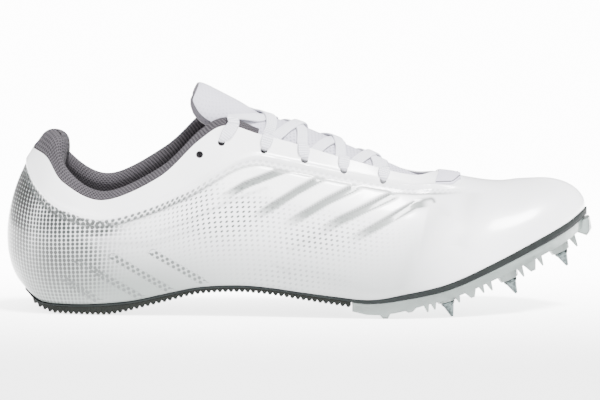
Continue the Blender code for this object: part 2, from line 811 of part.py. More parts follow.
def build_tongue(finish):
    """Padded tongue, thin at the throat end and thick at its free top."""
    span = COLLAR_START - TONGUE_START
    faces = [tongue_face(TONGUE_START + span * k / (TONGUE_STATIONS - 1)) for k in range(TONGUE_STATIONS)]
    faces += [tongue_top_face(row) for row in TONGUE_TOP]
    normals = face_normals(faces)
    last = len(faces) - 1
    loops = []
    for i, (line, ups) in enumerate(zip(faces, normals)):
        growth = min(i / (last - 3), 1.0)
        thickness = TONGUE_TIP_THICKNESS + (TONGUE_TOP_THICKNESS - TONGUE_TIP_THICKNESS) * growth
        if i == last:
            thickness *= 0.6
        count = len(line) - 1
        back = []
        for k, (point, up) in enumerate(zip(line, ups)):
            edge = min(k, count - k)
            slim = 0.35 if edge == 0 else (0.8 if edge == 1 else 1.0)
            back.append(point - up * (thickness * slim))
        loops.append(line + back[::-1])
    return loft("tongue", loops, finish)


def build_patch(finish):
    """Small stay over the end of the throat."""
    loops = []
    for k in range(PATCH_STATIONS):
        r = PATCH_START + (PATCH_END - PATCH_START) * k / (PATCH_STATIONS - 1)
        ends = PATCH_HEIGHT + (1.0 - PATCH_HEIGHT) * (0.45 if k == 0 else 0.0)
        shares = [ends + (1.0 - ends) * i / PATCH_HALF_POINTS for i in range(PATCH_HALF_POINTS + 1)]
        path = [(r, v) for v in shares] + [(-r, v) for v in reversed(shares[:-1])]
        lower = [shell(a, v) + normal(a, v) * (OVERLAY + GAP) for a, v in path]
        upper = [shell(a, v) + normal(a, v) * (OVERLAY + GAP + PATCH_THICKNESS) for a, v in path]
        loops.append(lower + upper[::-1])
    return loft("throat_stay", loops, finish)


def crest_heights():
    """Height of the tongue's middle line from the throat end to its top."""
    middle = TONGUE_SIDE_POINTS + (TONGUE_BRIDGE_POINTS + 1) // 2
    faces = [tongue_face(TONGUE_START + 0.6 * k) for k in range(7)]
    points = [face[middle] for face in faces]
    points += [tongue_top_face(row)[middle] for row in TONGUE_TOP]
    return tuple(sorted((point.x, point.z) for point in points))


def lace_strip(name, start, end, lift, crest, finish):
    """Flat lace from an outer eyelet over the tongue to an inner eyelet."""
    height = LACE_CLEARANCE + OVERLAY + lift
    turn = LACE_TURN * (end.section - start.section)
    first = start.section + turn
    second = -(end.section - turn)
    from_edge = shell(first, 1.0) + normal(first, 1.0) * height
    to_edge = shell(second, 1.0) + normal(second, 1.0) * height
    first_way = eyestay_way(first)
    second_way = eyestay_way(second)
    middle = 0.5 * (from_edge + to_edge)
    rise = along(crest, middle.x) + height + LACE_CREST_ROOM - middle.z
    handle = rise / (0.375 * (first_way.z + second_way.z))
    path = []
    ups = []
    for r, v in ((start.section, start.height - 0.015), (0.5 * (start.section + first), 0.5 * (start.height + 1.0))):
        path.append(shell(r, v) + normal(r, v) * height)
        ups.append(normal(r, v))
    for k in range(LACE_STEPS + 1):
        share = k / LACE_STEPS
        path.append(arch(from_edge, first_way * handle, to_edge, second_way * handle, share))
        ups.append((normal(first, 1.0) * (1.0 - share) + normal(second, 1.0) * share).normalized())
    for r, v in ((0.5 * (second - end.section), 0.5 * (end.height + 1.0)), (-end.section, end.height - 0.015)):
        path.append(shell(r, v) + normal(r, v) * height)
        ups.append(normal(r, v))
    loops = []
    last = len(path) - 1
    for k, (point, up) in enumerate(zip(path, ups)):
        ahead = (path[min(k + 1, last)] - path[max(k - 1, 0)]).normalized()
        across = ahead.cross(up).normalized() * (LACE_WIDTH / 2.0)
        above = across.cross(ahead).normalized() * LACE_THICKNESS
        loops.append([point - across, point + across, point + across + above, point - across + above])
    return loft(name, loops, finish)


def build_lace(finish):
    """Criss-cross lace joined where its strips cross and meet."""
    laced = EYELETS[EMPTY_EYELETS:]
    bottom = laced[-1]
    crest = crest_heights()
    lace = lace_strip("lace", bottom, bottom, 0.0, crest, finish)
    strips = []
    for above, below in zip(laced, laced[1:]):
        strips.append(lace_strip("strip", below, above, 0.0, crest, finish))
        strips.append(lace_strip("strip", above, below, LACE_THICKNESS / 3.0, crest, finish))
    combine(lace, strips[::-1], "UNION")
    return lace


def deck_places(back, front, count, round_back, round_front):
    """Places from heel to toe, closer together towards a rounded end."""
    places = []
    for k in range(count + 1):
        t = k / count
        if round_back and round_front:
            t = 0.5 - 0.5 * math.cos(math.pi * t)
        elif round_front:
            t = math.sin(0.5 * math.pi * t)
        places.append(back + (front - back) * t)
    return places


def deck(name, places, top, under, inset, under_inset, finish):
    """Layer of the sole between two height functions, inside the sole's plan."""
    loops = []
    for x in places:
        loops.append([
            Vector((x, edge_y(-1, x, inset), top(x))),
            Vector((x, edge_y(1, x, inset), top(x))),
            Vector((x, edge_y(1, x, under_inset), under(x))),
            Vector((x, edge_y(-1, x, under_inset), under(x))),
        ])
    return loft(name, loops, finish)


def build_midsole(finish):
    """Thin foam layer from heel to toe."""
    back = HEEL_END - MIDSOLE_REVEAL + END_TRIM
    front = TOE_END + MIDSOLE_REVEAL - END_TRIM
    places = deck_places(back, front, DECK_STATIONS, True, True)
    return deck("midsole", places, sole_line, midsole_under, -MIDSOLE_REVEAL, -MIDSOLE_REVEAL, finish)


def build_insole(finish):
    """Footbed lying on the midsole inside the wall."""
    room = WALL + 2.0 * GAP
    back = HEEL_END + room + INSOLE_HEEL_ROOM
    front = TOE_END - room - INSOLE_TOE_ROOM
    places = deck_places(back, front, DECK_STATIONS, True, True)
    loops = []
    for x in places:
        low = sole_line(x) + GAP
        high = low + INSOLE_THICKNESS
        shoulder = low + 0.45 * INSOLE_THICKNESS
        outer = edge_y(-1, x, room + INSOLE_SIDE_ROOM)
        inner = edge_y(1, x, room + INSOLE_SIDE_ROOM)
        loops.append([
            Vector((x, outer, low)),
            Vector((x, inner, low)),
            Vector((x, inner, shoulder)),
            Vector((x, inner - INSOLE_CHAMFER, high)),
            Vector((x, outer + INSOLE_CHAMFER, high)),
            Vector((x, outer, shoulder)),
        ])
    return loft("insole", loops, finish)


def rubber_tip(x):
    """Height of a tooth's flat tip, never below the floor."""
    return max(sole_line(x) - along(RUBBER_DEPTHS, x), 0.0)


def build_rubber(finish):
    """Rubber heel and midfoot with a fine saw-tooth underside."""
    teeth = int((RUBBER_FRONT - RUBBER_BACK) / TOOTH_PITCH)
    pitch = (RUBBER_FRONT - RUBBER_BACK) / teeth
    stations = []
    for k in range(teeth):
        root = RUBBER_BACK + k * pitch
        tip = rubber_tip(root + 0.5 * pitch)
        stations.append((root, rubber_tip(root) + TOOTH_DEPTH))
        stations.append((root + 0.32 * pitch, tip))
        stations.append((root + 0.68 * pitch, tip))
    stations.append((RUBBER_FRONT, rubber_tip(RUBBER_FRONT) + TOOTH_DEPTH))
    loops = []
    for x, under in stations:
        top = midsole_under(x) - GAP
        low_inset = RUBBER_INSET + RUBBER_UNDERCUT
        loops.append([
            Vector((x, edge_y(-1, x, RUBBER_INSET), top)),
            Vector((x, edge_y(1, x, RUBBER_INSET), top)),
            Vector((x, edge_y(1, x, low_inset), under)),
            Vector((x, edge_y(-1, x, low_inset), under)),
        ])
    return loft("outsole_rubber", loops, finish)


def plate_axis(x):
    """Unit vector straight down out of the plate."""
    step = 0.001
    slope = (sole_line(x + step) - sole_line(x - step)) / (2.0 * step)
    return Vector((slope, 0.0, -1.0)).normalized()


def web_under(x):
    """Underside of the thin web between the plate's rims."""
    return midsole_under(x) - GAP - PLATE_WEB


def lug_solid(lug, y, under, finish):
    """Four-sided lug rooted in the plate."""
    x = lug.x * LENGTH
    down = plate_axis(x)
    forward = Vector((-down.z, 0.0, down.x))
    side = Vector((0.0, 1.0, 0.0))
    root = Vector((x, y, under(x))) - down * LUG_ROOT
    loops = []
    for distance, share in ((0.0, 1.0), (LUG_ROOT + lug.drop, lug.tip)):
        centre = root + down * distance
        along_x = forward * (0.5 * lug.length * share)
        along_y = side * (0.5 * lug.width * (0.4 + 0.6 * share))
        loops.append([
            centre - along_x - along_y,
            centre + along_x - along_y,
            centre + along_x + along_y,
            centre - along_x + along_y,
        ])
    if lug.drop == 0.0:
        for point in loops[1]:
            point.z = 0.0
    return loft(lug.name, loops, finish)


def pin_seat(place):
    """Place of a pin's boss on the plate, its axis, and the boss height."""
    x = place.x * LENGTH
    y = edge_y(place.side, x, place.inboard)
    down = plate_axis(x)
    base = Vector((x, y, plate_under(x)))
    boss = place.boss
    if boss == 0.0:
        reach = (base.z - PIN_TIP_RADIUS * down.x) / -down.z
        boss = reach - GAP - PIN_FLANGE - PIN_HEIGHT
    return base, down, boss


def toe_lug(finish):
    """Lug that reaches ahead of the toe."""
    middle = foot_xy(0.0)
    loops = []
    for side, share in ((-1.0, 0.6), (-0.55, 1.0), (0.55, 1.0), (1.0, 0.6)):
        y = middle.y + side * TOE_LUG_WIDTH / 2.0
        loop = []
        for corner in TOE_LUG_PROFILE:
            reach = corner.ahead * (share if corner.ahead > 0.0 else 1.0)
            x = middle.x + reach
            loop.append(Vector((x, y, midsole_under(x) - GAP - corner.below)))
        loops.append(loop)
    return loft("toe_lug", loops, finish)


def build_plate(finish):
    """Moulded forefoot plate with a deep rim, lugs and pin bosses."""
    back = RUBBER_FRONT + 2.0 * GAP
    places = deck_places(back, TOE_END - PLATE_TOE_INSET, PLATE_STATIONS, False, True)
    loops = []
    for x in places:
        top = midsole_under(x) - GAP
        rim = plate_under(x)
        outer = edge_y(-1, x, PLATE_INSET)
        inner = edge_y(1, x, PLATE_INSET)
        band = min(PLATE_RIM, 0.32 * (inner - outer))
        web = web_under(x)
        loops.append([
            Vector((x, outer, top)),
            Vector((x, inner, top)),
            Vector((x, inner, rim)),
            Vector((x, inner - band, rim)),
            Vector((x, inner - band * 1.25, web)),
            Vector((x, outer + band * 1.25, web)),
            Vector((x, outer + band, rim)),
            Vector((x, outer, rim)),
        ])
    plate = loft("spike_plate", loops, finish)
    extras = []
    for side in (-1, 1):
        for lug in (FLOOR_LUG,) + LUGS:
            y = edge_y(side, lug.x * LENGTH, lug.inboard)
            extras.append(lug_solid(lug, y, plate_under, finish))
    for lug in CENTRE_LUGS:
        x = lug.x * LENGTH
        middle = 0.5 * (edge_y(-1, x) + edge_y(1, x))
        extras.append(lug_solid(lug, middle, web_under, finish))
    for place in PINS:
        base, down, boss = pin_seat(place)
        stops = ((-BOSS_ROOT, BOSS_BASE_RADIUS), (boss, BOSS_TOP_RADIUS))
        extras.append(prism("boss", base, down, stops, BOSS_SIDES, finish))
    extras.append(toe_lug(finish))
    combine(plate, extras, "UNION")
    bores = []
    for place in PINS:
        base, down, boss = pin_seat(place)
        radius = PIN_SHANK_RADIUS + GAP
        stops = ((boss - PIN_SHANK - GAP, radius), (boss + LUG_ROOT, radius))
        bores.append(prism("bore", base, down, stops, PIN_SIDES, finish))
    combine(plate, bores, "DIFFERENCE")
    return plate


def build_pin(place, finish):
    """Steel pin: threaded shank, flange and pointed cone with a flat tip."""
    base, down, boss = pin_seat(place)
    flange = boss + GAP
    stops = (
        (boss - PIN_SHANK, PIN_SHANK_RADIUS),
        (flange, PIN_SHANK_RADIUS),
        (flange, PIN_FLANGE_RADIUS),
        (flange + PIN_FLANGE, PIN_FLANGE_RADIUS),
        (flange + PIN_FLANGE + PIN_HEIGHT, PIN_TIP_RADIUS),
    )
    return prism("spike_pin_" + place.name, base, down, stops, PIN_SIDES, finish)


def centre_on_box():
    """Put the origin under the middle of the shoe's box, on the floor."""
    made = [thing for thing in bpy.data.objects if thing.type == "MESH"]
    corners = [corner.co for thing in made for corner in thing.data.vertices]
    middle = Vector((
        0.5 * (min(c.x for c in corners) + max(c.x for c in corners)),
        0.5 * (min(c.y for c in corners) + max(c.y for c in corners)),
        0.0,
    ))
    for thing in made:
        thing.data.transform(Matrix.Translation(-middle))


def main():
    """Build the whole shoe."""
    for old in list(bpy.data.objects):
        bpy.data.objects.remove(old)
    white = material("coated_synthetic", (0.80, 0.80, 0.80), 0.30)
    textile = material("grey_textile", (0.15, 0.14, 0.16), 0.85)
    padded = material("padded_mesh", (0.80, 0.80, 0.82), 0.75)
    cotton = material("lace_polyester", (0.86, 0.86, 0.88), 0.80)
    footbed = material("footbed_cloth", (0.30, 0.30, 0.32), 0.90)
    foam = material("dark_foam", (0.10, 0.11, 0.11), 0.60)
    rubber = material("grey_rubber", (0.12, 0.12, 0.12), 0.70)
    clear = material("clear_plate", (0.50, 0.55, 0.54), 0.25, transmission=0.4)
    steel = material("steel_pin", (0.55, 0.57, 0.58), 0.25, metallic=1.0)
    build_upper(white)
    build_collar(textile)
    build_tongue(padded)
    build_patch(white)
    build_lace(cotton)
    build_insole(footbed)
    build_midsole(foam)
    build_rubber(rubber)
    build_plate(clear)
    for place in PINS:
        build_pin(place, steel)
    centre_on_box()


main()
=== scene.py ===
"""Looks of a track spike shoe for the right foot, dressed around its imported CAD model.

The toe points along +X, the outer side faces -Y and the camera, and the shoe stands on Z = 0.
"""
import logging
import math
from dataclasses import dataclass
from enum import Enum
from typing import NamedTuple

import bmesh
import bpy
import numpy as np
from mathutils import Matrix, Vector
from mathutils.bvhtree import BVHTree


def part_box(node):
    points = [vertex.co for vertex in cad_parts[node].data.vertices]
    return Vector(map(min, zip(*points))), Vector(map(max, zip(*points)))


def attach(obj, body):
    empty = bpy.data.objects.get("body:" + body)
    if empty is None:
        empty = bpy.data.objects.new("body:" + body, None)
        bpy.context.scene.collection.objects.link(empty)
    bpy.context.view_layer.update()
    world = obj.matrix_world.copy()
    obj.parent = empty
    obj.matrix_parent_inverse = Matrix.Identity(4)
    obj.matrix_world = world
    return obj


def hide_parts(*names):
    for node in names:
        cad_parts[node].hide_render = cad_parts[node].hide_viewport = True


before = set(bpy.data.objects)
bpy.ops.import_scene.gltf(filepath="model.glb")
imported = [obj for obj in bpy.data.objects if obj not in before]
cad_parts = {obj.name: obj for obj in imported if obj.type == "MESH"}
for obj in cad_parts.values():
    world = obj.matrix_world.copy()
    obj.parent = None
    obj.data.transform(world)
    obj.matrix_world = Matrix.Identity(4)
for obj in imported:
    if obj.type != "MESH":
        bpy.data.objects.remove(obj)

LOG = logging.getLogger("track_spike")
ROOT_BODY = "root"
MM = 0.001
CAMERA_DISTANCE = 1.6
CAMERA_ELEVATION = math.radians(5.0)
CAMERA_TARGET = (0.0, 0.0, 0.052)
PHOTO_WIDTH_AT_SHOE = 0.28644
SENSOR = 36.0
MERGE_DISTANCE = 1e-6


class Section(NamedTuple):
    """One section of the last, as in the part's own source."""

    name: str
    foot_x: float
    foot_y: float
    top_x: float
    top_y: float
    instep: float
    heel: float
    out_low: float
    up_low: float
    out_top: float
    down_top: float
    panel: float
    step: float


TOE_TIP = Section(
    "toe_tip", 0.489, 0.067, 0.4, 0.056, 0.7, 0.0, 0.006, 0.51, 0.178, -0.11, 0.75, 0.0,
)
HEEL_BACK = Section(
    "heel_back", -0.466, 0.0, -0.452, 0.0, 0.0, 1.0, 0.15, 0.14, 0.183, 0.415, 0.92, 1.0,
)

OUTER_SIDE = tuple(Section(*row) for row in (
    ("toe_front", 0.47, -0.083, 0.391, 0.053, 0.7, 0.0, 0.009, 0.5, 0.167, -0.03, 0.75, 0.0),
    ("toe_corner", 0.427, -0.239, 0.371, 0.05, 0.697, 0.0, 0.011, 0.47, 0.19, 0.0, 0.76, 0.0),
    ("little_toe", 0.35, -0.378, 0.336, 0.044, 0.688, 0.0, 0.022, 0.4, 0.222, 0.0, 0.77, 0.0),
    ("ball_front", 0.264, -0.467, 0.286, 0.039, 0.708, 0.0, 0.033, 0.33, 0.267, 0.03, 0.78, 0.0),
    ("throat_end", 0.179, -0.5, 0.236, 0.028, 0.729, 0.0, 0.033, 0.28, 0.278, 0.1, 0.79, 1.0),
    ("ball_back", 0.114, -0.489, 0.186, -0.111, 0.724, 0.0, 0.033, 0.27, 0.19, 0.17, 0.85, 1.0),
    ("midfoot", 0.029, -0.45, 0.086, -0.172, 0.807, 0.0, 0.039, 0.33, 0.156, 0.25, 0.85, 1.0),
    ("instep", -0.064, -0.406, -0.007, -0.206, 0.898, 0.0, 0.044, 0.33, 0.122, 0.3, 0.84, 1.0),
    ("eyestay_top", -0.129, -0.383, -0.07, -0.228, 0.953, 0.0, 0.05, 0.33, 0.106, 0.33, 0.83, 1.0),
    ("collar_peak", -0.179, -0.367, -0.125, -0.256, 1.0, 0.0, 0.056, 0.32, 0.089, 0.33, 0.69, 1.0),
    ("collar_front", -0.225, -0.356, -0.171, -0.289, 0.916, 0.0, 0.061, 0.3, 0.067, 0.32, 0.67,
     1.0),
    ("dip_front", -0.275, -0.344, -0.236, -0.333, 0.73, 0.0, 0.067, 0.29, 0.039, 0.31, 0.76, 1.0),
    ("dip", -0.339, -0.328, -0.329, -0.328, 0.0, 0.704, 0.072, 0.29, 0.039, 0.29, 0.8, 1.0),
    ("rear", -0.393, -0.283, -0.396, -0.272, 0.0, 0.805, 0.083, 0.25, 0.078, 0.31, 0.78, 1.0),
    ("heel_side", -0.436, -0.183, -0.425, -0.178, 0.0, 0.952, 0.111, 0.18, 0.122, 0.36, 0.8, 1.0),
))

INNER_SIDE = tuple(Section(*row) for row in (
    ("toe_front", 0.479, 0.2, 0.391, 0.053, 0.7, 0.0, 0.011, 0.5, 0.167, -0.03, 0.75, 0.0),
    ("toe_corner", 0.446, 0.328, 0.371, 0.05, 0.697, 0.0, 0.017, 0.5, 0.19, 0.0, 0.76, 0.0),
    ("big_toe", 0.375, 0.428, 0.336, 0.044, 0.688, 0.0, 0.025, 0.45, 0.23, 0.0, 0.77, 0.0),
    ("ball_front", 0.286, 0.467, 0.286, 0.039, 0.708, 0.0, 0.03, 0.38, 0.267, -0.02, 0.78, 0.0),
    ("throat_end", 0.2, 0.456, 0.236, 0.028, 0.729, 0.0, 0.03, 0.33, 0.267, 0.04, 0.79, 1.0),
    ("ball_back", 0.121, 0.417, 0.186, 0.15, 0.73, 0.0, 0.033, 0.31, 0.178, 0.15, 0.85, 1.0),
    ("midfoot", 0.029, 0.35, 0.086, 0.206, 0.826, 0.0, 0.056, 0.3, 0.144, 0.25, 0.85, 1.0),
    ("instep", -0.064, 0.311, -0.007, 0.228, 0.927, 0.0, 0.067, 0.3, 0.122, 0.3, 0.84, 1.0),
    ("eyestay_top", -0.129, 0.306, -0.07, 0.239, 0.989, 0.0, 0.072, 0.3, 0.106, 0.32, 0.83, 1.0),
    ("collar_peak", -0.179, 0.311, -0.125, 0.261, 1.045, 0.0, 0.072, 0.3, 0.089, 0.33, 0.69, 1.0),
    ("collar_front", -0.225, 0.317, -0.171, 0.283, 0.978, 0.0, 0.072, 0.3, 0.067, 0.32, 0.67, 1.0),
    ("dip_front", -0.275, 0.322, -0.236, 0.311, 0.798, 0.0, 0.072, 0.29, 0.044, 0.31, 0.76, 1.0),
    ("dip", -0.339, 0.317, -0.329, 0.311, 0.0, 0.764, 0.075, 0.29, 0.044, 0.29, 0.8, 1.0),
    ("rear", -0.393, 0.278, -0.396, 0.267, 0.0, 0.857, 0.083, 0.25, 0.078, 0.31, 0.78, 1.0),
    ("heel_side", -0.436, 0.183, -0.425, 0.178, 0.0, 0.974, 0.111, 0.18, 0.122, 0.36, 0.8, 1.0),
))

RING = (TOE_TIP,) + OUTER_SIDE + (HEEL_BACK,) + INNER_SIDE[::-1]
RING_SIZE = len(RING)
HALF_RING = RING_SIZE // 2
RIDGE_END = 5.0
COLLAR_START = 9.0


class SoleRow(NamedTuple):
    """Height of the line where the upper meets the midsole, as shares of the sole's own sizes."""

    x: float
    stack: float
    arch: float
    toe: float


SOLE_LINE = (
    SoleRow(-0.470, 1.0, 0.55, 0.0),
    SoleRow(-0.462, 1.0, 0.42, 0.0),
    SoleRow(-0.452, 1.0, 0.20, 0.0),
    SoleRow(-0.439, 1.0, 0.04, 0.0),
    SoleRow(-0.400, 1.0, 0.00, 0.0),
    SoleRow(-0.336, 1.0, 0.06, 0.0),
    SoleRow(-0.280, 1.0, 0.22, 0.0),
    SoleRow(-0.224, 1.0, 0.57, 0.0),
    SoleRow(-0.168, 1.0, 0.89, 0.0),
    SoleRow(-0.100, 1.0, 0.99, 0.0),
    SoleRow(-0.050, 1.0, 0.90, 0.0),
    SoleRow(0.000, 1.0, 0.72, 0.0),
    SoleRow(0.055, 1.0, 0.50, 0.01),
    SoleRow(0.116, 1.0, 0.00, 0.091),
    SoleRow(0.166, 1.0, 0.00, 0.139),
    SoleRow(0.250, 1.0, 0.00, 0.264),
    SoleRow(0.334, 1.0, 0.00, 0.493),
    SoleRow(0.400, 1.0, 0.00, 0.692),
    SoleRow(0.436, 1.0, 0.00, 0.800),
    SoleRow(0.461, 1.0, 0.00, 0.878),
    SoleRow(0.486, 1.0, 0.00, 0.972),
    SoleRow(0.500, 1.0, 0.00, 1.010),
)


class DepthRow(NamedTuple):
    """Depth of the midsole at one place along the shoe."""

    x: float
    depth: float


MIDSOLE_DEPTH = (
    DepthRow(-0.470, 0.0008),
    DepthRow(-0.200, 0.0009),
    DepthRow(0.050, 0.0010),
    DepthRow(0.116, 0.0015),
    DepthRow(0.180, 0.0021),
    DepthRow(0.250, 0.0026),
    DepthRow(0.340, 0.0030),
    DepthRow(0.436, 0.0034),
    DepthRow(0.500, 0.0036),
)


class EyeletPlace(NamedTuple):
    """An eyelet of the eyestay, the same on both sides."""

    section: float
    height: float


EYELETS = (
    EyeletPlace(10.80, 0.885),
    EyeletPlace(10.00, 0.895),
    EyeletPlace(8.72, 0.905),
    EyeletPlace(7.74, 0.900),
    EyeletPlace(7.05, 0.892),
    EyeletPlace(6.40, 0.885),
)


class TongueTop(NamedTuple):
    """A section of the tongue above the eyestay."""

    x: float
    z: float
    width: float
    drop: float


TONGUE_TOP = (
    TongueTop(-0.096, 1.104, 0.95, 0.95),
    TongueTop(-0.125, 1.153, 0.98, 1.00),
    TongueTop(-0.148, 1.190, 1.00, 0.92),
    TongueTop(-0.164, 1.216, 0.97, 0.72),
    TongueTop(-0.171, 1.222, 0.86, 0.52),
)


class CollarRow(NamedTuple):
    """Size of the collar's padding at one place, the same on both sides."""

    section: float
    roll: float
    pad: float


COLLAR_SIZE = (
    CollarRow(COLLAR_START, 0.0028, 0.0025),
    CollarRow(10.0, 0.0042, 0.0029),
    CollarRow(11.0, 0.0064, 0.0042),
    CollarRow(12.0, 0.0056, 0.0050),
    CollarRow(13.0, 0.0046, 0.0052),
    CollarRow(14.0, 0.0072, 0.0062),
    CollarRow(15.0, 0.0110, 0.0082),
    CollarRow(HALF_RING, 0.0126, 0.0096),
)


def smooth(low: float, high: float, value: np.ndarray) -> np.ndarray:
    """Soft step from 0 at low to 1 at high."""
    share = np.clip((value - low) / (high - low), 0.0, 1.0)
    return share * share * (3.0 - 2.0 * share)


def unit(vectors: np.ndarray) -> np.ndarray:
    """Vectors of length one along the last axis."""
    return vectors / np.maximum(np.linalg.norm(vectors, axis=-1, keepdims=True), 1e-12)


def catmull(points: np.ndarray, per_span: int, closed: bool = False) -> np.ndarray:
    """Smooth curve through points.

    Args:
        points: rows of coordinates.
        per_span: new points for each stretch between two given ones.
        closed: whether the last point runs on into the first.

    Returns:
        Rows of coordinates on the curve.
    """
    count = len(points)
    spans = count if closed else count - 1
    place = np.arange(spans * per_span + (0 if closed else 1)) / per_span
    base = np.minimum(np.floor(place).astype(int), spans - 1)
    t = (place - base)[:, None]
    picks = []
    for k in (-1, 0, 1, 2):
        index = base + k
        index = index % count if closed else np.clip(index, 0, count - 1)
        picks.append(points[index])
    a, b, c, d = picks
    return 0.5 * (2.0 * b + (c - a) * t + (2.0 * a - 5.0 * b + 4.0 * c - d) * t ** 2
                  + (3.0 * b - a - 3.0 * c + d) * t ** 3)


class SmoothRow:
    """Smooth height through (x, value) pairs that run from heel to toe."""

    def __init__(self, rows: list[tuple[float, float]]) -> None:
        """Keep the pairs and work out the slope at each of them."""
        self.x = np.array([row[0] for row in rows])
        self.value = np.array([row[1] for row in rows])
        count = len(rows)
        low = np.maximum(np.arange(count) - 1, 0)
        high = np.minimum(np.arange(count) + 1, count - 1)
        self.slope = (self.value[high] - self.value[low]) / (self.x[high] - self.x[low])

    def at(self, x: np.ndarray) -> np.ndarray:
        """Value at x, held level past both ends."""
        x = np.clip(np.asarray(x, dtype=float), self.x[0], self.x[-1])
        i = np.clip(np.searchsorted(self.x, x, side="left") - 1, 0, len(self.x) - 2)
        span = self.x[i + 1] - self.x[i]
        t = (x - self.x[i]) / span
        rise = self.value[i + 1] - self.value[i]
        first = self.slope[i] * span
        second = self.slope[i + 1] * span
        return self.value[i] + t * (first + t * ((3.0 * rise - 2.0 * first - second)
                                                + t * (first + second - 2.0 * rise)))


def collar_size(place: np.ndarray) -> tuple[np.ndarray, np.ndarray]:
    """Roll and padding of the collar at places along half the ring."""
    roll = SmoothRow([(row.section, row.roll) for row in COLLAR_SIZE]).at(place)
    pad = SmoothRow([(row.section, row.pad) for row in COLLAR_SIZE]).at(place)
    return roll, pad


@dataclass
class Last:
    """The form of the foot that the shoe is made on, read at whole grids of places at once.

    A place r runs round the shoe: 0 at the toe tip, 16 at the heel's back, outer side first.
    A height v runs from 0 at the sole to 1 at the top edge or the ridge over the toes.
    """

    length: float = 0.280
    ball_width: float = 0.090
    instep_height: float = 0.089
    heel_height: float = 0.077
    heel_stack: float = 0.0046
    arch_rise: float = 0.0100
    toe_spring: float = 0.0440
    gap: float = 0.0003
    wall: float = 0.0018
    overlay: float = 0.0007
    reveal: float = 0.0009
    end_trim: float = 0.00005

    def __post_init__(self) -> None:
        """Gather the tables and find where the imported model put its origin."""
        self.table = np.array([section[1:] for section in RING])
        self.column = {name: k for k, name in enumerate(Section._fields[1:])}
        self.sole = SmoothRow([
            (row.x * self.length,
             row.stack * self.heel_stack + row.arch * self.arch_rise + row.toe * self.toe_spring)
            for row in SOLE_LINE
        ])
        self.foam = SmoothRow([(row.x * self.length, row.depth) for row in MIDSOLE_DEPTH])
        self.shift = np.zeros(3)
        foam_low, foam_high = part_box("midsole")
        heel = self.foot(np.array([float(HALF_RING)]))[0, 0] - self.reveal + self.end_trim
        outline = self.foot(np.linspace(0.0, RING_SIZE, 2000))
        middle = 0.5 * (outline[:, 1].min() + outline[:, 1].max())
        foam_middle = 0.5 * (foam_low[1] + foam_high[1])
        self.shift = np.array([foam_low[0] - heel, foam_middle - middle, 0.0])

    def read(self, name: str, r: np.ndarray) -> np.ndarray:
        """Smooth value of one column of the table at places r."""
        base = np.floor(r).astype(int)
        t = r - base
        a, b, c, d = (self.table[(base + k) % RING_SIZE, self.column[name]] for k in (-1, 0, 1, 2))
        return 0.5 * (2.0 * b + (c - a) * t + (2.0 * a - 5.0 * b + 4.0 * c - d) * t ** 2
                      + (3.0 * b - a - 3.0 * c + d) * t ** 3)

    def foot(self, r: np.ndarray) -> np.ndarray:
        """Plan of the line where the upper meets the midsole."""
        r = np.asarray(r, dtype=float)
        x = self.read("foot_x", r) * self.length
        y = self.read("foot_y", r) * self.ball_width
        return np.stack([x, y, np.zeros_like(x)], axis=-1) + self.shift

    def outward(self, r: np.ndarray) -> np.ndarray:
        """Level direction away from the foot."""
        tangent = unit(self.foot(r + 0.05) - self.foot(r - 0.05))
        level = np.zeros_like(tangent[..., 0])
        return np.stack([-tangent[..., 1], tangent[..., 0], level], axis=-1)

    def one_top(self, r: np.ndarray) -> np.ndarray:
        """Top point of one side, before the two sides meet on the ridge."""
        height = self.read("instep", r) * self.instep_height
        height = height + self.read("heel", r) * self.heel_height
        x = self.read("top_x", r) * self.length
        y = self.read("top_y", r) * self.ball_width
        return np.stack([x, y, height], axis=-1) + self.shift

    def on_ridge(self, r: np.ndarray) -> np.ndarray:
        """Whether places lie where the two sides are closed over the toes."""
        wrapped = np.mod(r, RING_SIZE)
        return np.minimum(wrapped, RING_SIZE - wrapped) <= RIDGE_END + 1e-6

    def top(self, r: np.ndarray) -> np.ndarray:
        """Top edge, or the shared ridge over the toes."""
        own = self.one_top(r)
        shared = 0.5 * (own + self.one_top(-r))
        return np.where(self.on_ridge(r)[..., None], shared, own)

    def sole_height(self, x: np.ndarray) -> np.ndarray:
        """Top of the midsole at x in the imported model's frame."""
        return self.sole.at(np.asarray(x) - self.shift[0])

    def sole_under(self, x: np.ndarray) -> np.ndarray:
        """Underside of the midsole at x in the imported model's frame."""
        return self.sole_height(x) - self.foam.at(np.asarray(x) - self.shift[0])

    def shell(self, r: np.ndarray, v: np.ndarray) -> np.ndarray:
        """Outer surface of the upper without its raised panels."""
        r, v = np.broadcast_arrays(np.asarray(r, dtype=float), np.asarray(v, dtype=float))
        foot = self.foot(r)
        foot[..., 2] = self.sole_height(foot[..., 0]) + self.gap
        top = self.top(r)
        away = self.outward(r)
        rise = top[..., 2] - foot[..., 2]
        lean = np.zeros_like(foot)
        lean[..., 0] = np.maximum(top[..., 0] - foot[..., 0], 0.0) / 3.0
        low = foot + lean + away * (self.read("out_low", r) * self.ball_width)[..., None]
        low[..., 2] += self.read("up_low", r) * rise
        high = top - lean + away * (self.read("out_top", r) * self.ball_width)[..., None]
        high[..., 2] -= self.read("down_top", r) * rise
        v = v[..., None]
        w = 1.0 - v
        return w ** 3 * foot + 3.0 * w * w * v * low + 3.0 * w * v * v * high + v ** 3 * top

    def one_normal(self, r: np.ndarray, v: np.ndarray) -> np.ndarray:
        """Outward normal of one side."""
        v = np.clip(v, 0.01, 0.985)
        across = self.shell(r + 0.02, v) - self.shell(r - 0.02, v)
        upward = self.shell(r, v + 0.01) - self.shell(r, v - 0.01)
        return unit(np.cross(upward, across))

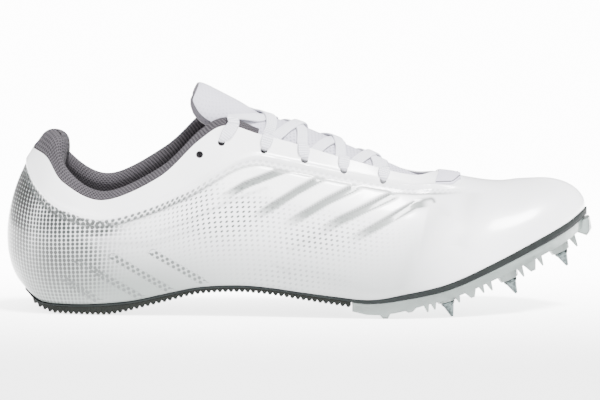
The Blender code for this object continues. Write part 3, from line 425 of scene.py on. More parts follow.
    def normal(self, r: np.ndarray, v: np.ndarray) -> np.ndarray:
        """Outward normal, shared where the sides meet on the ridge."""
        r, v = np.broadcast_arrays(np.asarray(r, dtype=float), np.asarray(v, dtype=float))
        own = self.one_normal(r, v)
        shared = unit(own + self.one_normal(-r, v))
        blend = smooth(0.90, 1.0, v) * self.on_ridge(r)
        return unit(own * (1.0 - blend[..., None]) + shared * blend[..., None])

    def raised(self, r: np.ndarray, v: np.ndarray) -> np.ndarray:
        """Share by which the collar and eyestay panel stands proud of the shell."""
        edge = self.read("panel", r)
        share = np.clip(self.read("step", r), 0.0, 1.0)
        return smooth(-0.004, 0.018, v - edge) * share

    def edge_y(self, side: int, x: np.ndarray, inset: float = 0.0) -> np.ndarray:
        """Plan edge of the sole at x, outer (-1) or inner (1) side, moved inwards by inset."""
        places = np.linspace(0.0, HALF_RING, 1200)
        line = self.foot(-side * places) - self.outward(-side * places) * inset
        order = np.argsort(line[:, 0])
        return np.interp(x, line[order, 0], line[order, 1])


def only(obj: bpy.types.Object) -> None:
    """Select one object alone and make it active."""
    bpy.ops.object.select_all(action="DESELECT")
    obj.select_set(True)
    bpy.context.view_layer.objects.active = obj


def piece_from(name: str, points: np.ndarray, faces: list[tuple[int, ...]]) -> bpy.types.Object:
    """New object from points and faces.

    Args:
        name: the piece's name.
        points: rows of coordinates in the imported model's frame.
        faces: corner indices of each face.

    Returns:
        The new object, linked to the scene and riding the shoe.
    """
    mesh = bpy.data.meshes.new(name)
    mesh.from_pydata([tuple(point) for point in points], [], faces)
    mesh.update()
    obj = bpy.data.objects.new(name, mesh)
    bpy.context.scene.collection.objects.link(obj)
    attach(obj, ROOT_BODY)
    return obj


def merge(obj: bpy.types.Object) -> None:
    """Merge points that coincide and turn the faces outwards."""
    shape = bmesh.new()
    shape.from_mesh(obj.data)
    bmesh.ops.remove_doubles(shape, verts=shape.verts, dist=MERGE_DISTANCE)
    bmesh.ops.recalc_face_normals(shape, faces=shape.faces)
    shape.to_mesh(obj.data)
    shape.free()


def keep_value(obj: bpy.types.Object, name: str, values: np.ndarray) -> None:
    """Store one number for each point of a mesh, for its material to read."""
    attribute = obj.data.attributes.new(name, "FLOAT", "POINT")
    attribute.data.foreach_set("value", np.ascontiguousarray(values, dtype=np.float32).ravel())


def keep_map(obj: bpy.types.Object, name: str, u: np.ndarray, v: np.ndarray) -> None:
    """Store a flat pair of coordinates for each point of a mesh, in metres along the surface."""
    layer = obj.data.attributes.new(name, "FLOAT_VECTOR", "POINT")
    flat = np.stack([u.ravel(), v.ravel(), np.zeros(u.size)], axis=-1)
    layer.data.foreach_set("vector", np.ascontiguousarray(flat, dtype=np.float32).ravel())


def soft_shading(obj: bpy.types.Object, angle: float) -> None:
    """Shade smooth but for edges sharper than the angle in degrees."""
    only(obj)
    bpy.ops.object.shade_smooth_by_angle(angle=math.radians(angle))


def wear(obj: bpy.types.Object, finish: bpy.types.Material, angle: float) -> None:
    """Merge a piece's points, give it its material and shade it smooth up to the angle."""
    merge(obj)
    obj.data.materials.append(finish)
    soft_shading(obj, angle)


def tube_faces(loops: int, count: int, closed: bool) -> list[tuple[int, ...]]:
    """Faces that skin loops of equal length, with caps unless the tube closes on itself."""
    faces = []
    for i in range(loops if closed else loops - 1):
        first = i * count
        second = ((i + 1) % loops) * count
        for k in range(count):
            n = (k + 1) % count
            faces.append((first + k, first + n, second + n, second + k))
    if not closed:
        faces.append(tuple(reversed(range(count))))
        faces.append(tuple(range((loops - 1) * count, loops * count)))
    return faces


def linear(hex_colour: str) -> tuple[float, float, float, float]:
    """Linear colour of an sRGB hex value."""
    parts = [int(hex_colour[k:k + 2], 16) / 255.0 for k in (1, 3, 5)]
    light = [c / 12.92 if c <= 0.04045 else ((c + 0.055) / 1.055) ** 2.4 for c in parts]
    return (*light, 1.0)


class Finish:
    """A material under construction: its node tree and its Principled shader."""

    def __init__(self, name: str) -> None:
        """Start a material with one Principled shader."""
        self.material = bpy.data.materials.new(name)
        self.material.use_nodes = True
        self.tree = self.material.node_tree
        self.shader = self.tree.nodes["Principled BSDF"]

    def node(self, kind: str, settings: dict | None = None,
             inputs: dict | None = None) -> bpy.types.Node:
        """Add a node.

        Args:
            kind: the node's type.
            settings: its properties.
            inputs: for each input's name or number, a value or another node's output.

        Returns:
            The new node.
        """
        made = self.tree.nodes.new(kind)
        for key, value in (settings or {}).items():
            setattr(made, key, value)
        for key, value in (inputs or {}).items():
            if isinstance(value, bpy.types.NodeSocket):
                self.tree.links.new(value, made.inputs[key])
            else:
                made.inputs[key].default_value = value
        return made

    def maths(self, operation: str, *values: object) -> bpy.types.NodeSocket:
        """Result of one sum on numbers or sockets."""
        inputs = dict(enumerate(values))
        return self.node("ShaderNodeMath", {"operation": operation}, inputs).outputs[0]

    def ramp(self, value: bpy.types.NodeSocket, low: float, high: float,
             first: float = 0.0, last: float = 1.0) -> bpy.types.NodeSocket:
        """Soft step of a value from first to last between low and high."""
        made = self.node("ShaderNodeMapRange", {"interpolation_type": "SMOOTHSTEP"},
                         {0: value, 1: low, 2: high, 3: first, 4: last})
        return made.outputs[0]

    def mix(self, share: object, first: object, second: object) -> bpy.types.NodeSocket:
        """Blend of two colours."""
        made = self.node("ShaderNodeMix", {"data_type": "RGBA"}, {0: share, 6: first, 7: second})
        return made.outputs[2]

    def stored(self, name: str) -> bpy.types.Node:
        """Node that reads a value kept on the mesh."""
        return self.node("ShaderNodeAttribute", {"attribute_name": name})

    def place(self) -> bpy.types.NodeSocket:
        """Object coordinates in metres."""
        return self.node("ShaderNodeTexCoord").outputs["Object"]

    def axis(self, number: int) -> bpy.types.NodeSocket:
        """One of the three object coordinates in metres."""
        return self.node("ShaderNodeSeparateXYZ", None, {0: self.place()}).outputs[number]

    def blotched(self, cloud: bpy.types.NodeSocket, low: float, high: float, most: float,
                 first: str, second: str) -> bpy.types.NodeSocket:
        """Colour that turns from the first hex value towards the second where a cloud is dense."""
        return self.mix(self.ramp(cloud, low, high, 0.0, most), linear(first), linear(second))

    def noise(self, size_mm: float, detail: float = 2.0) -> bpy.types.NodeSocket:
        """Cloudy noise whose blotches are about size_mm across."""
        made = self.node("ShaderNodeTexNoise", None, {
            "Vector": self.place(), "Scale": 1.0 / (size_mm * MM), "Detail": detail})
        return made.outputs["Fac"]

    def bump(self, height: object, depth_mm: float, strength: float = 1.0,
             under: object = None) -> bpy.types.NodeSocket:
        """Normal from a height of 0 to 1 over a real depth in millimetres."""
        inputs = {"Height": height, "Distance": depth_mm * MM, "Strength": strength}
        if under is not None:
            inputs["Normal"] = under
        return self.node("ShaderNodeBump", None, inputs).outputs["Normal"]

    def set(self, **values: object) -> None:
        """Set or link the shader's sockets, named with underscores for spaces."""
        for key, value in values.items():
            socket = self.shader.inputs[key.replace("_", " ")]
            if isinstance(value, bpy.types.NodeSocket):
                self.tree.links.new(value, socket)
            else:
                socket.default_value = value


class Cell(NamedTuple):
    """A repeat of small marks: both ways of the flat pattern, in metres, and how far it leans."""

    along: float
    up: float
    lean: float


def dots(finish: Finish, where: bpy.types.NodeSocket, cell: Cell,
         stagger: bool) -> bpy.types.NodeSocket:
    """Distance from the nearest dot's middle, in shares of the pattern's repeat along.

    Args:
        finish: the material that the nodes go into.
        where: flat coordinates along the surface, in metres.
        cell: the size of the repeat.
        stagger: whether each second row is moved on by half a repeat.

    Returns:
        Socket with the distance, 0 at a dot's middle.
    """
    split = finish.node("ShaderNodeSeparateXYZ", None, {0: where})
    up = finish.maths("DIVIDE", split.outputs[1], cell.up)
    row = finish.maths("FLOOR", up)
    along = finish.maths("DIVIDE", split.outputs[0], cell.along)
    along = finish.maths("MULTIPLY_ADD", up, cell.lean, along)
    if stagger:
        odd = finish.maths("MULTIPLY", finish.maths("PINGPONG", row, 1.0), 0.5)
        along = finish.maths("ADD", along, odd)
    across = finish.maths("SUBTRACT", finish.maths("FRACT", along), 0.5)
    rise = finish.maths("MULTIPLY", finish.maths("SUBTRACT", finish.maths("FRACT", up), 0.5),
                        cell.up / cell.along)
    square = finish.maths("ADD", finish.maths("MULTIPLY", across, across),
                          finish.maths("MULTIPLY", rise, rise))
    return finish.maths("SQRT", square)


class Finishes:
    """Every material of the shoe, each made once and shared by the pieces that wear it."""

    def __init__(self) -> None:
        """Make all the materials."""
        self.upper = CoatedSynthetic().build()
        self.punched = PunchedEdge().build()
        self.collar = CollarKnit().build()
        self.tongue = TongueMesh().build()
        self.stay = StayFilm().build()
        self.lace = LaceWeave().build()
        self.footbed = FootbedCloth().build()
        self.foam = MouldedFoam().build()
        self.rubber = MouldedRubber().build()
        self.plate = ClearPlate().build()
        self.steel = TurnedSteel().build()
        self.thread = StitchThread().build()


@dataclass(frozen=True)
class CoatedSynthetic:
    """Synthetic leather with a clear coat, pressed over a form: white, smooth and softly glossy."""

    white: str = "#E6E6E9"
    panel: str = "#EEEEF0"
    # greenish grey of the lower side: partly the side's own tint and partly painted shade
    low_tint_and_shade: str = "#656C69"
    band: str = "#6A706E"
    pinhole: str = "#3F4443"
    # painted highlight: the raised windows are made whiter than the rest to stand in for their gloss
    window_highlight: str = "#FAFAFB"
    # painted shade: dark colour laid under the panel's edge, along each band's upper edge and in the
    # creases
    groove_and_painted_shade: str = "#4C5150"
    print_ground: str = "#858A88"
    ink_light: str = "#343837"
    ink_dark: str = "#101111"
    lining: str = "#4C4952"
    soil: str = "#B4B8B6"
    pinhole_cell: Cell = Cell(0.0027, 0.0023, 0.25)
    ink_cell: Cell = Cell(0.0022, 0.0019, 0.0)
    seam_cell: Cell = Cell(0.0029, 0.0016, 0.0)

    def build(self) -> bpy.types.Material:
        """Make the material; its marks follow values kept on the upper's mesh."""
        made = Finish("coated_synthetic_pressed")
        skin = made.stored("skin_map").outputs["Vector"]
        panel = made.stored("panel").outputs["Fac"]
        band = made.stored("band").outputs["Fac"]
        holes = made.stored("holes").outputs["Fac"]
        ink = made.stored("ink").outputs["Fac"]
        low = made.stored("low_tint_and_shade").outputs["Fac"]
        cloud = made.noise(26.0, 3.0)
        # darker towards the bottom and the heel: the side's own greenish tint and painted shade
        base = made.mix(low, linear(self.white), linear(self.low_tint_and_shade))
        base = made.mix(panel, base, linear(self.panel))
        base = made.mix(band, base, linear(self.band))
        base = made.mix(made.ramp(cloud, 0.45, 0.75, 0.0, 0.10), base, linear(self.soil))
        pin = dots(made, skin, self.pinhole_cell, True)
        pin = made.ramp(pin, 0.17, 0.27, 1.0, 0.0)
        pin = made.maths("MULTIPLY", pin, holes)
        base = made.mix(pin, base, linear(self.pinhole))
        base = made.mix(made.ramp(ink, 0.0, 1.0, 0.0, 0.75), base, linear(self.print_ground))
        # painted highlight on the raised windows between the bands
        base = made.mix(made.stored("window_highlight").outputs["Fac"], base, linear(self.window_highlight))
        # painted shade in the groove under the panel, above each band and in the creases
        base = made.mix(made.stored("groove_and_painted_shade").outputs["Fac"], base, linear(self.groove_and_painted_shade))
        print_size = made.maths("MULTIPLY_ADD", ink, 0.20, 0.33)
        mark = dots(made, skin, self.ink_cell, False)
        mark = made.ramp(made.maths("SUBTRACT", mark, print_size), -0.06, 0.04, 1.0, 0.0)
        mark = made.maths("MULTIPLY", mark, made.ramp(ink, 0.02, 0.30))
        tone = made.mix(made.ramp(ink, 0.25, 0.85), linear(self.ink_light), linear(self.ink_dark))
        base = made.mix(mark, base, tone)
        seam = self.seam_marks(made)
        base = made.mix(made.maths("MULTIPLY", seam, 0.92), base, linear(self.pinhole))
        inside = made.ramp(made.stored("inside").outputs["Fac"], 0.05, 0.4)
        base = made.mix(inside, base, linear(self.lining))
        grain = made.node("ShaderNodeTexVoronoi", {"feature": "DISTANCE_TO_EDGE"},
                          {"Vector": made.place(), "Scale": 1.0 / (0.55 * MM)}).outputs["Distance"]
        first = made.bump(made.ramp(grain, 0.0, 0.25), 0.012, 0.5)
        pits = made.maths("MAXIMUM", pin, seam)
        pits = made.maths("ADD", pits, made.maths("MULTIPLY", mark, 0.35))
        normal = made.bump(made.maths("SUBTRACT", 1.0, pits), 0.22, 0.9, first)
        rough = made.ramp(cloud, 0.3, 0.8, 0.30, 0.40)
        rough = made.maths("MULTIPLY_ADD", band, 0.12, rough)
        rough = made.maths("MULTIPLY_ADD", inside, 0.45, rough)
        made.set(Base_Color=base, Roughness=rough, Normal=normal, Coat_Weight=0.55,
                 Coat_Roughness=0.14)
        return made.material

    def seam_marks(self, made: Finish) -> bpy.types.NodeSocket:
        """Rows of small pressed marks along the panel's edge and down the quarter."""
        marks = []
        for layer, first, last in (("edge_map", -0.0034, -0.0002), ("row_map", -0.0017, 0.0017)):
            flat = made.stored(layer).outputs["Vector"]
            split = made.node("ShaderNodeSeparateXYZ", None, {0: flat})
            within = made.maths("MULTIPLY", made.ramp(split.outputs[1], first - 0.0002, first),
                                made.ramp(split.outputs[1], last, last + 0.0002, 1.0, 0.0))
            spot = dots(made, flat, self.seam_cell, True)
            spot = made.ramp(spot, 0.24, 0.33, 1.0, 0.0)
            marks.append(made.maths("MULTIPLY", spot, within))
        strength = made.stored("marks").outputs["Fac"]
        return made.maths("MULTIPLY", made.maths("MAXIMUM", *marks), strength)


@dataclass(frozen=True)
class PunchedEdge:
    """The raw edge of the synthetic where an eyelet is punched: dark grey and matt."""

    core: str = "#3C3C40"
    fibre: str = "#37373A"

    def build(self) -> bpy.types.Material:
        """Make the material."""
        made = Finish("punched_synthetic_edge")
        fibre = made.noise(0.3, 3.0)
        base = made.blotched(fibre, 0.3, 0.7, 1.0, self.core, self.fibre)
        made.set(Base_Color=base, Roughness=0.85, Normal=made.bump(fibre, 0.05, 0.6),
                 Specular_IOR_Level=0.2)
        return made.material


@dataclass(frozen=True)
class CollarKnit:
    """Knitted polyester over foam: dull purple-grey with rows of small darker loops."""

    yarn: str = "#4B484C"
    gap: str = "#262427"
    worn: str = "#4F4C51"
    cell: Cell = Cell(0.0016, 0.0012, 0.0)

    def build(self) -> bpy.types.Material:
        """Make the material; its loops follow the flat map kept on the collar."""
        made = Finish("collar_knit")
        weave = made.stored("skin_map").outputs["Vector"]
        loop = made.ramp(dots(made, weave, self.cell, True), 0.20, 0.46, 1.0, 0.0)
        fuzz = made.noise(0.5, 3.0)
        base = made.mix(loop, linear(self.yarn), linear(self.gap))
        base = made.mix(made.ramp(made.noise(18.0), 0.4, 0.8, 0.0, 0.25), base, linear(self.worn))
        first = made.bump(fuzz, 0.06, 0.5)
        normal = made.bump(made.maths("SUBTRACT", 1.0, loop), 0.30, 0.9, first)
        made.set(Base_Color=base, Roughness=0.88, Normal=normal, Specular_IOR_Level=0.15)
        return made.material


@dataclass(frozen=True)
class TongueMesh:
    """Airy polyester mesh over thin foam: white face with open pinholes and a grey lining."""

    face: str = "#B4B2BE"
    hole: str = "#8A8A97"
    lining: str = "#403D43"
    lining_hole: str = "#29272C"
    cell: Cell = Cell(0.0021, 0.0018, 0.0)

    def build(self) -> bpy.types.Material:
        """Make the material; the lining's share is kept on the tongue's mesh."""
        made = Finish("tongue_mesh")
        weave = made.stored("skin_map").outputs["Vector"]
        lining = made.stored("lining").outputs["Fac"]
        hole = made.ramp(dots(made, weave, self.cell, True), 0.14, 0.30, 1.0, 0.0)
        height = made.axis(2)
        hole = made.maths("MULTIPLY", hole, made.ramp(height, 0.078, 0.098, 1.0, 0.3))
        face = made.mix(hole, linear(self.face), linear(self.hole))
        back = made.mix(hole, linear(self.lining), linear(self.lining_hole))
        # the lining share also carries painted shade on the face where it lies under the eyestays
        base = made.mix(made.ramp(lining, 0.45, 0.55), face, back)
        first = made.bump(made.noise(0.6, 3.0), 0.05, 0.4)
        normal = made.bump(made.maths("SUBTRACT", 1.0, hole), 0.20, 0.8, first)
        made.set(Base_Color=base, Roughness=0.75, Normal=normal, Sheen_Weight=0.2,
                 Sheen_Roughness=0.5, Specular_IOR_Level=0.3)
        return made.material


@dataclass(frozen=True)
class StayFilm:
    """Thin satin film of polyurethane: pale lavender white, smooth."""

    film: str = "#C4C2CF"
    shade: str = "#B2B0BE"

    def build(self) -> bpy.types.Material:
        """Make the material."""
        made = Finish("stay_film")
        base = made.blotched(made.noise(9.0, 3.0), 0.4, 0.8, 0.3, self.film, self.shade)
        normal = made.bump(made.noise(0.9, 4.0), 0.03, 0.4)
        made.set(Base_Color=base, Roughness=0.42, Normal=normal, Coat_Weight=0.15,
                 Coat_Roughness=0.3)
        return made.material


@dataclass(frozen=True)
class LaceWeave:
    """Flat woven polyester lace: white, with a fine herringbone of threads."""

    thread: str = "#E6E6EB"
    shade: str = "#A5A5B2"
    cell: Cell = Cell(0.0011, 0.0008, 0.5)

    def build(self) -> bpy.types.Material:
        """Make the material; the weave follows the lace's own flat map."""
        made = Finish("lace_weave")
        weave = made.stored("skin_map").outputs["Vector"]
        knot = made.ramp(dots(made, weave, self.cell, True), 0.22, 0.5, 1.0, 0.0)
        base = made.mix(knot, linear(self.shade), linear(self.thread))
        normal = made.bump(knot, 0.12, 0.8)
        made.set(Base_Color=base, Roughness=0.72, Normal=normal, Sheen_Weight=0.25,
                 Sheen_Roughness=0.4, Specular_IOR_Level=0.3)
        return made.material


@dataclass(frozen=True)
class StitchThread:
    """Polyester sewing thread: a dull grey twist."""

    thread: str = "#55535C"
    shade: str = "#3E3C44"

    def build(self) -> bpy.types.Material:
        """Make the material."""
        made = Finish("stitch_thread")
        twist = made.node("ShaderNodeTexWave", {"wave_type": "BANDS"},
                          {"Vector": made.place(), "Scale": 1.0 / (0.35 * MM)}).outputs["Fac"]
        base = made.blotched(twist, 0.2, 0.8, 0.5, self.thread, self.shade)
        made.set(Base_Color=base, Roughness=0.6, Normal=made.bump(twist, 0.05, 0.6))
        return made.material


@dataclass(frozen=True)
class FootbedCloth:
    """Brushed cloth laid over the footbed's foam: mid grey and matt."""

    cloth: str = "#74727A"
    shade: str = "#605E66"

    def build(self) -> bpy.types.Material:
        """Make the material."""
        made = Finish("footbed_cloth")
        nap = made.noise(0.8, 4.0)
        base = made.blotched(nap, 0.3, 0.7, 1.0, self.cloth, self.shade)
        made.set(Base_Color=base, Roughness=0.92, Normal=made.bump(nap, 0.15, 0.6),
                 Sheen_Weight=0.3, Sheen_Roughness=0.5, Specular_IOR_Level=0.2)
        return made.material


@dataclass(frozen=True)
class MouldedFoam:
    """Moulded EVA foam strip: dark green-grey with a fine closed skin."""

    skin: str = "#181B1B"
    pale: str = "#222625"

    def build(self) -> bpy.types.Material:
        """Make the material."""
        made = Finish("eva_foam_moulded")
        base = made.blotched(made.noise(7.0, 3.0), 0.35, 0.75, 0.5, self.skin, self.pale)
        normal = made.bump(made.noise(0.5, 3.0), 0.04, 0.5)
        made.set(Base_Color=base, Roughness=0.65, Normal=normal, Specular_IOR_Level=0.1)
        return made.material


@dataclass(frozen=True)
class MouldedRubber:
    """Moulded carbon rubber: dark warm grey, matt with worn tooth tips."""

    skin: str = "#1A1C1A"
    worn: str = "#3A3A36"
    dark: str = "#131413"

    def build(self) -> bpy.types.Material:
        """Make the material."""
        made = Finish("carbon_rubber_moulded")
        cloud = made.noise(5.0, 4.0)
        height = made.axis(2)
        tip = made.ramp(height, 0.0, 0.0016, 1.0, 0.0)
        base = made.mix(made.maths("MULTIPLY", tip, made.ramp(cloud, 0.3, 0.7)),
                        linear(self.skin), linear(self.worn))
        base = made.mix(made.ramp(cloud, 0.5, 0.8, 0.0, 0.4), base, linear(self.dark))
        normal = made.bump(made.noise(0.6, 3.0), 0.05, 0.6)
        made.set(Base_Color=base, Roughness=0.80, Normal=normal, Specular_IOR_Level=0.06)
        return made.material


@dataclass(frozen=True)
class ClearPlate:
    """Injection-moulded nylon plate: frosted, see-through and slightly grey."""

    nylon: str = "#7B8582"
    shade: str = "#5A6461"

    def build(self) -> bpy.types.Material:
        """Make the material."""
        made = Finish("nylon_plate_moulded")
        base = made.blotched(made.noise(6.0, 3.0), 0.35, 0.75, 0.5, self.nylon, self.shade)
        normal = made.bump(made.noise(1.2, 3.0), 0.06, 0.6)
        made.set(Base_Color=base, Roughness=0.28, Normal=normal, IOR=1.53,
                 Transmission_Weight=0.45, Coat_Weight=0.3, Coat_Roughness=0.1)
        return made.material


@dataclass(frozen=True)
class TurnedSteel:
    """Turned and plated steel: bright, with darker blotches."""

    metal: str = "#5D6666"
    shade: str = "#363C3C"

    def build(self) -> bpy.types.Material:
        """Make the material."""
        made = Finish("plated_steel_turned")
        cloud = made.noise(1.5, 3.0)
        base = made.blotched(cloud, 0.3, 0.7, 1.0, self.metal, self.shade)
        made.set(Base_Color=base, Metallic=1.0, Roughness=made.ramp(cloud, 0.3, 0.8, 0.18, 0.32))
        return made.material


class Line(NamedTuple):
    """A line on the shoe's side, given by points seen square on, in millimetres."""

    name: str
    points: tuple[tuple[float, float], ...]
    width: float
    depth: float


BANDS = (
    Line("first", ((0.5, 70.8), (-25.2, 61.4), (-46.6, 49.2), (-56.0, 42.0)), 3.4, 0.40),
    Line("second", ((15.0, 66.6), (-0.9, 58.4), (-28.0, 42.2)), 3.4, 0.40),
    Line("third", ((30.5, 61.6), (12.6, 53.5), (-17.7, 36.6)), 3.6, 0.40),
    Line("fourth", ((48.0, 57.4), (19.1, 45.0), (-6.1, 31.0)), 3.8, 0.40),
    Line("fifth", ((62.0, 52.6), (54.5, 51.5), (18.2, 32.9)), 3.4, 0.45),
)

CREASES = (
    Line("band_shadow", ((12.6, 40.5), (-5.0, 31.0)), 1.6, 0.30),
    Line("arch_nick", ((-12.5, 24.5), (-5.0, 21.2)), 1.6, 0.30),
    Line("window_fold", ((-16.0, 59.5), (-31.7, 54.0), (-54.5, 43.2), (-66.0, 39.0)), 1.3, 0.50),
    Line("waist_fold", ((-50.0, 40.0), (-70.0, 33.0), (-92.0, 34.0)), 2.6, 0.30),
    Line("quarter_fold", ((-60.0, 51.0), (-78.0, 43.0), (-96.0, 38.5)), 2.2, 0.35),
    Line("ball_fold", ((66.0, 47.0), (54.0, 30.0), (49.0, 14.0)), 6.0, 0.30),
    Line("toe_break", ((86.0, 60.0), (80.0, 46.0), (77.0, 34.0)), 7.0, 0.35),
    Line("throat_hollow", ((57.0, 64.0), (66.0, 61.5), (70.0, 64.5)), 3.0, 0.35),
)

QUARTER_ROWS = (
    Line("heel_row", ((-110.8, 17.3), (-95.4, 7.5)), 3.4, 0.0),
    Line("back_row", ((-104.5, 26.3), (-75.7, 9.4)), 3.4, 0.0),
    Line("middle_row", ((-87.4, 28.1), (-61.7, 12.7)), 3.4, 0.0),
    Line("front_row", ((-68.7, 30.0), (-45.4, 16.4)), 3.4, 0.0),
)


class Cloud(NamedTuple):
    """A soft patch of small marks on the shoe's side, in millimetres."""

    name: str
    x: float
    z: float
    half_x: float
    half_z: float
    strength: float


PINHOLE_CLOUDS = (
    Cloud("mid_side", -38.0, 49.0, 26.0, 15.0, 1.3),
    Cloud("under_windows", 8.0, 37.0, 24.0, 9.0, 0.9),
    Cloud("arch", -4.0, 20.0, 22.0, 8.0, 0.45),
    Cloud("quarter", -72.0, 39.0, 20.0, 9.0, 0.40),
)

INK_CLOUDS = (
    Cloud("counter_top", -133.0, 58.0, 11.0, 18.0, 1.0),
    Cloud("counter_back", -138.0, 40.0, 12.0, 22.0, 1.0),
    Cloud("counter_middle", -116.0, 44.0, 16.0, 10.0, 0.55),
    Cloud("counter_low", -119.0, 24.0, 26.0, 18.0, 0.56),
    Cloud("under_collar", -99.0, 41.0, 15.0, 4.5, 0.42),
)


def line_distance(line: Line, x: np.ndarray, z: np.ndarray) -> tuple[np.ndarray, np.ndarray]:
    """Distance from a line and place along it.

    Args:
        line: the line, in millimetres.
        x: places along the shoe, in millimetres.
        z: heights, in millimetres.

    Returns:
        Signed distance, positive above the line, and the length along it, in millimetres.
    """
    best = np.full(x.shape, 1e6)
    place = np.zeros(x.shape)
    run = 0.0
    for (ax, az), (bx, bz) in zip(line.points, line.points[1:]):
        dx, dz = bx - ax, bz - az
        length = math.hypot(dx, dz)
        share = np.clip(((x - ax) * dx + (z - az) * dz) / length ** 2, 0.0, 1.0)
        off_x, off_z = x - ax - share * dx, z - az - share * dz
        size = np.hypot(off_x, off_z)
        side = np.where(off_z >= 0.0, 1.0, -1.0)
        closer = size < np.abs(best)
        best = np.where(closer, size * side, best)
        place = np.where(closer, run + share * length, place)
        run += length
    return best, place


def clouds(table: tuple[Cloud, ...], x: np.ndarray, z: np.ndarray) -> np.ndarray:
    """Summed strength of soft patches at places in millimetres, at most 1."""
    total = np.zeros(x.shape)
    for cloud in table:
        reach = ((x - cloud.x) / cloud.half_x) ** 2 + ((z - cloud.z) / cloud.half_z) ** 2
        total = np.maximum(total, cloud.strength * np.exp(-reach * 0.9))
    return np.clip(total, 0.0, 1.0)


@dataclass
class Upper:
    """The hollow upper: a pressed shell with panels, bands, creases and punched eyelets."""

    last: Last
    finishes: Finishes
    columns: int = 28
    rows: int = 96
    inner_rows: int = 7
    bead_height: float = 0.00095
    groove_depth: float = 0.00055
    groove_gap: float = 0.0030
    window_height: float = 0.00065
    bead_place: float = 0.0016
    bead_width: float = 0.0012
    groove_width: float = 0.0009
    band_run: float = 44.0
    band_fade: float = 14.0
    eyelet_diameter: float = 0.0034
    eyelet_sides: int = 24

    def seen(self, plain: np.ndarray) -> tuple[np.ndarray, np.ndarray]:
        """Place along the shoe and height of points of the shell, in millimetres."""
        return (plain[..., 0] - self.last.shift[0]) / MM, plain[..., 2] / MM

    def below_panel(self, from_edge: np.ndarray) -> np.ndarray:
        """Share by which a place lies clear below the panel's edge."""
        return 1.0 - smooth(-0.0042, -0.0022, from_edge)

    def relief(self, r: np.ndarray, v: np.ndarray, size: np.ndarray) -> np.ndarray:
        """Height of the surface above the plain shell.

        Args:
            r: places round the shoe.
            v: heights up the section, 0 to 1.
            size: length of each section's curve, in metres.

        Returns:
            Heights in metres.
        """
        x, z = self.seen(self.last.shell(r, v))
        panel = self.last.raised(r, v)
        step = np.clip(self.last.read("step", r), 0.0, 1.0)
        from_edge = (v - self.last.read("panel", r)) * size
        bead = np.exp(-((from_edge - self.bead_place) / self.bead_width) ** 2)
        groove_and_painted_shade = np.exp(-((from_edge + self.groove_gap) / self.groove_width) ** 2)
        around = r % RING_SIZE
        step *= 1.0 - 0.8 * smooth(13.5, 15.0, np.minimum(around, RING_SIZE - around))
        ridge = bead * self.bead_height - groove_and_painted_shade * self.groove_depth
        height = panel * self.last.overlay + ridge * step
        band = self.band_share(from_edge, x, z)
        height += self.window_share(from_edge, x) * (1.0 - band) * self.window_height
        for crease in CREASES:
            distance, _ = line_distance(crease, x, z)
            height -= crease.depth * MM * np.exp(-(distance / crease.width) ** 2) * (1.0 - panel)
        return height

    def band_share(self, from_edge: np.ndarray, x: np.ndarray, z: np.ndarray) -> np.ndarray:
        """Share by which a place lies on one of the dull bands between the windows."""
        total = np.zeros(x.shape)
        for band in BANDS:
            distance, along = line_distance(band, x, z)
            fade = smooth(0.0, self.band_fade, self.band_run - along) * smooth(0.0, 5.0, along)
            share = 1.0 - smooth(band.width * 0.38, band.width * 0.62, np.abs(distance))
            total = np.maximum(total, share * fade)
        return total * self.below_panel(from_edge)

    def shade_share(self, step: np.ndarray, from_edge: np.ndarray, x: np.ndarray,
                    z: np.ndarray) -> np.ndarray:
        """Share of the soft shade under the panel, above each band and in the creases."""
        total = 0.75 * np.exp(-((from_edge + self.groove_gap) / 0.0008) ** 2) * step
        under = self.below_panel(from_edge)
        for band in BANDS:
            distance, along = line_distance(band, x, z)
            edge = np.exp(-((distance - 0.46 * band.width) / 0.7) ** 2)
            fade = smooth(0.0, self.band_fade, self.band_run - along)
            total = np.maximum(total, 0.85 * edge * fade * under)
        for crease in CREASES:
            distance, _ = line_distance(crease, x, z)
            below = np.exp(-((distance - 0.3 * crease.width) / (0.6 * crease.width)) ** 2)
            total = np.maximum(total, 0.5 * below * crease.depth * under)
        return total

    def window_share(self, from_edge: np.ndarray, x: np.ndarray) -> np.ndarray:
        """Share of the glossy raised windows under the eyestay."""
        under = smooth(-0.021, -0.013, from_edge) * (1.0 - smooth(-0.0035, -0.0015, from_edge))
        return under * smooth(-46.0, -30.0, x) * (1.0 - smooth(38.0, 68.0, x))

    def build(self) -> bpy.types.Object:
        """Make the upper."""
        count = RING_SIZE * self.columns
        places = np.arange(count) / self.columns
        v = np.linspace(0.0, 1.0, self.rows)
        r_grid, v_grid = np.meshgrid(places, v, indexing="ij")
        plain = self.last.shell(r_grid, v_grid)
        rises = np.linalg.norm(np.diff(plain, axis=1), axis=-1)
        climb = np.concatenate([np.zeros((count, 1)), np.cumsum(rises, axis=1)], axis=1)
        size = climb[:, -1:]
        normals = self.last.normal(r_grid, v_grid)
        outer = plain + normals * self.relief(r_grid, v_grid, size)[..., None]
        inner_v = np.linspace(0.0, 1.0, self.inner_rows)
        ri, vi = np.meshgrid(places, inner_v, indexing="ij")
        inner = self.last.shell(ri, vi) - self.last.normal(ri, vi) * self.last.wall
        points = np.concatenate([outer.reshape(-1, 3), inner.reshape(-1, 3)])
        obj = piece_from("upper_skin", points, self.faces(places))
        self.keep_marks(obj, r_grid, v_grid, plain, climb, ri.size)
        merge(obj)
        obj.data.materials.append(self.finishes.upper)
        self.punch(obj)
        soft_shading(obj, 50.0)
        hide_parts("upper")
        return obj

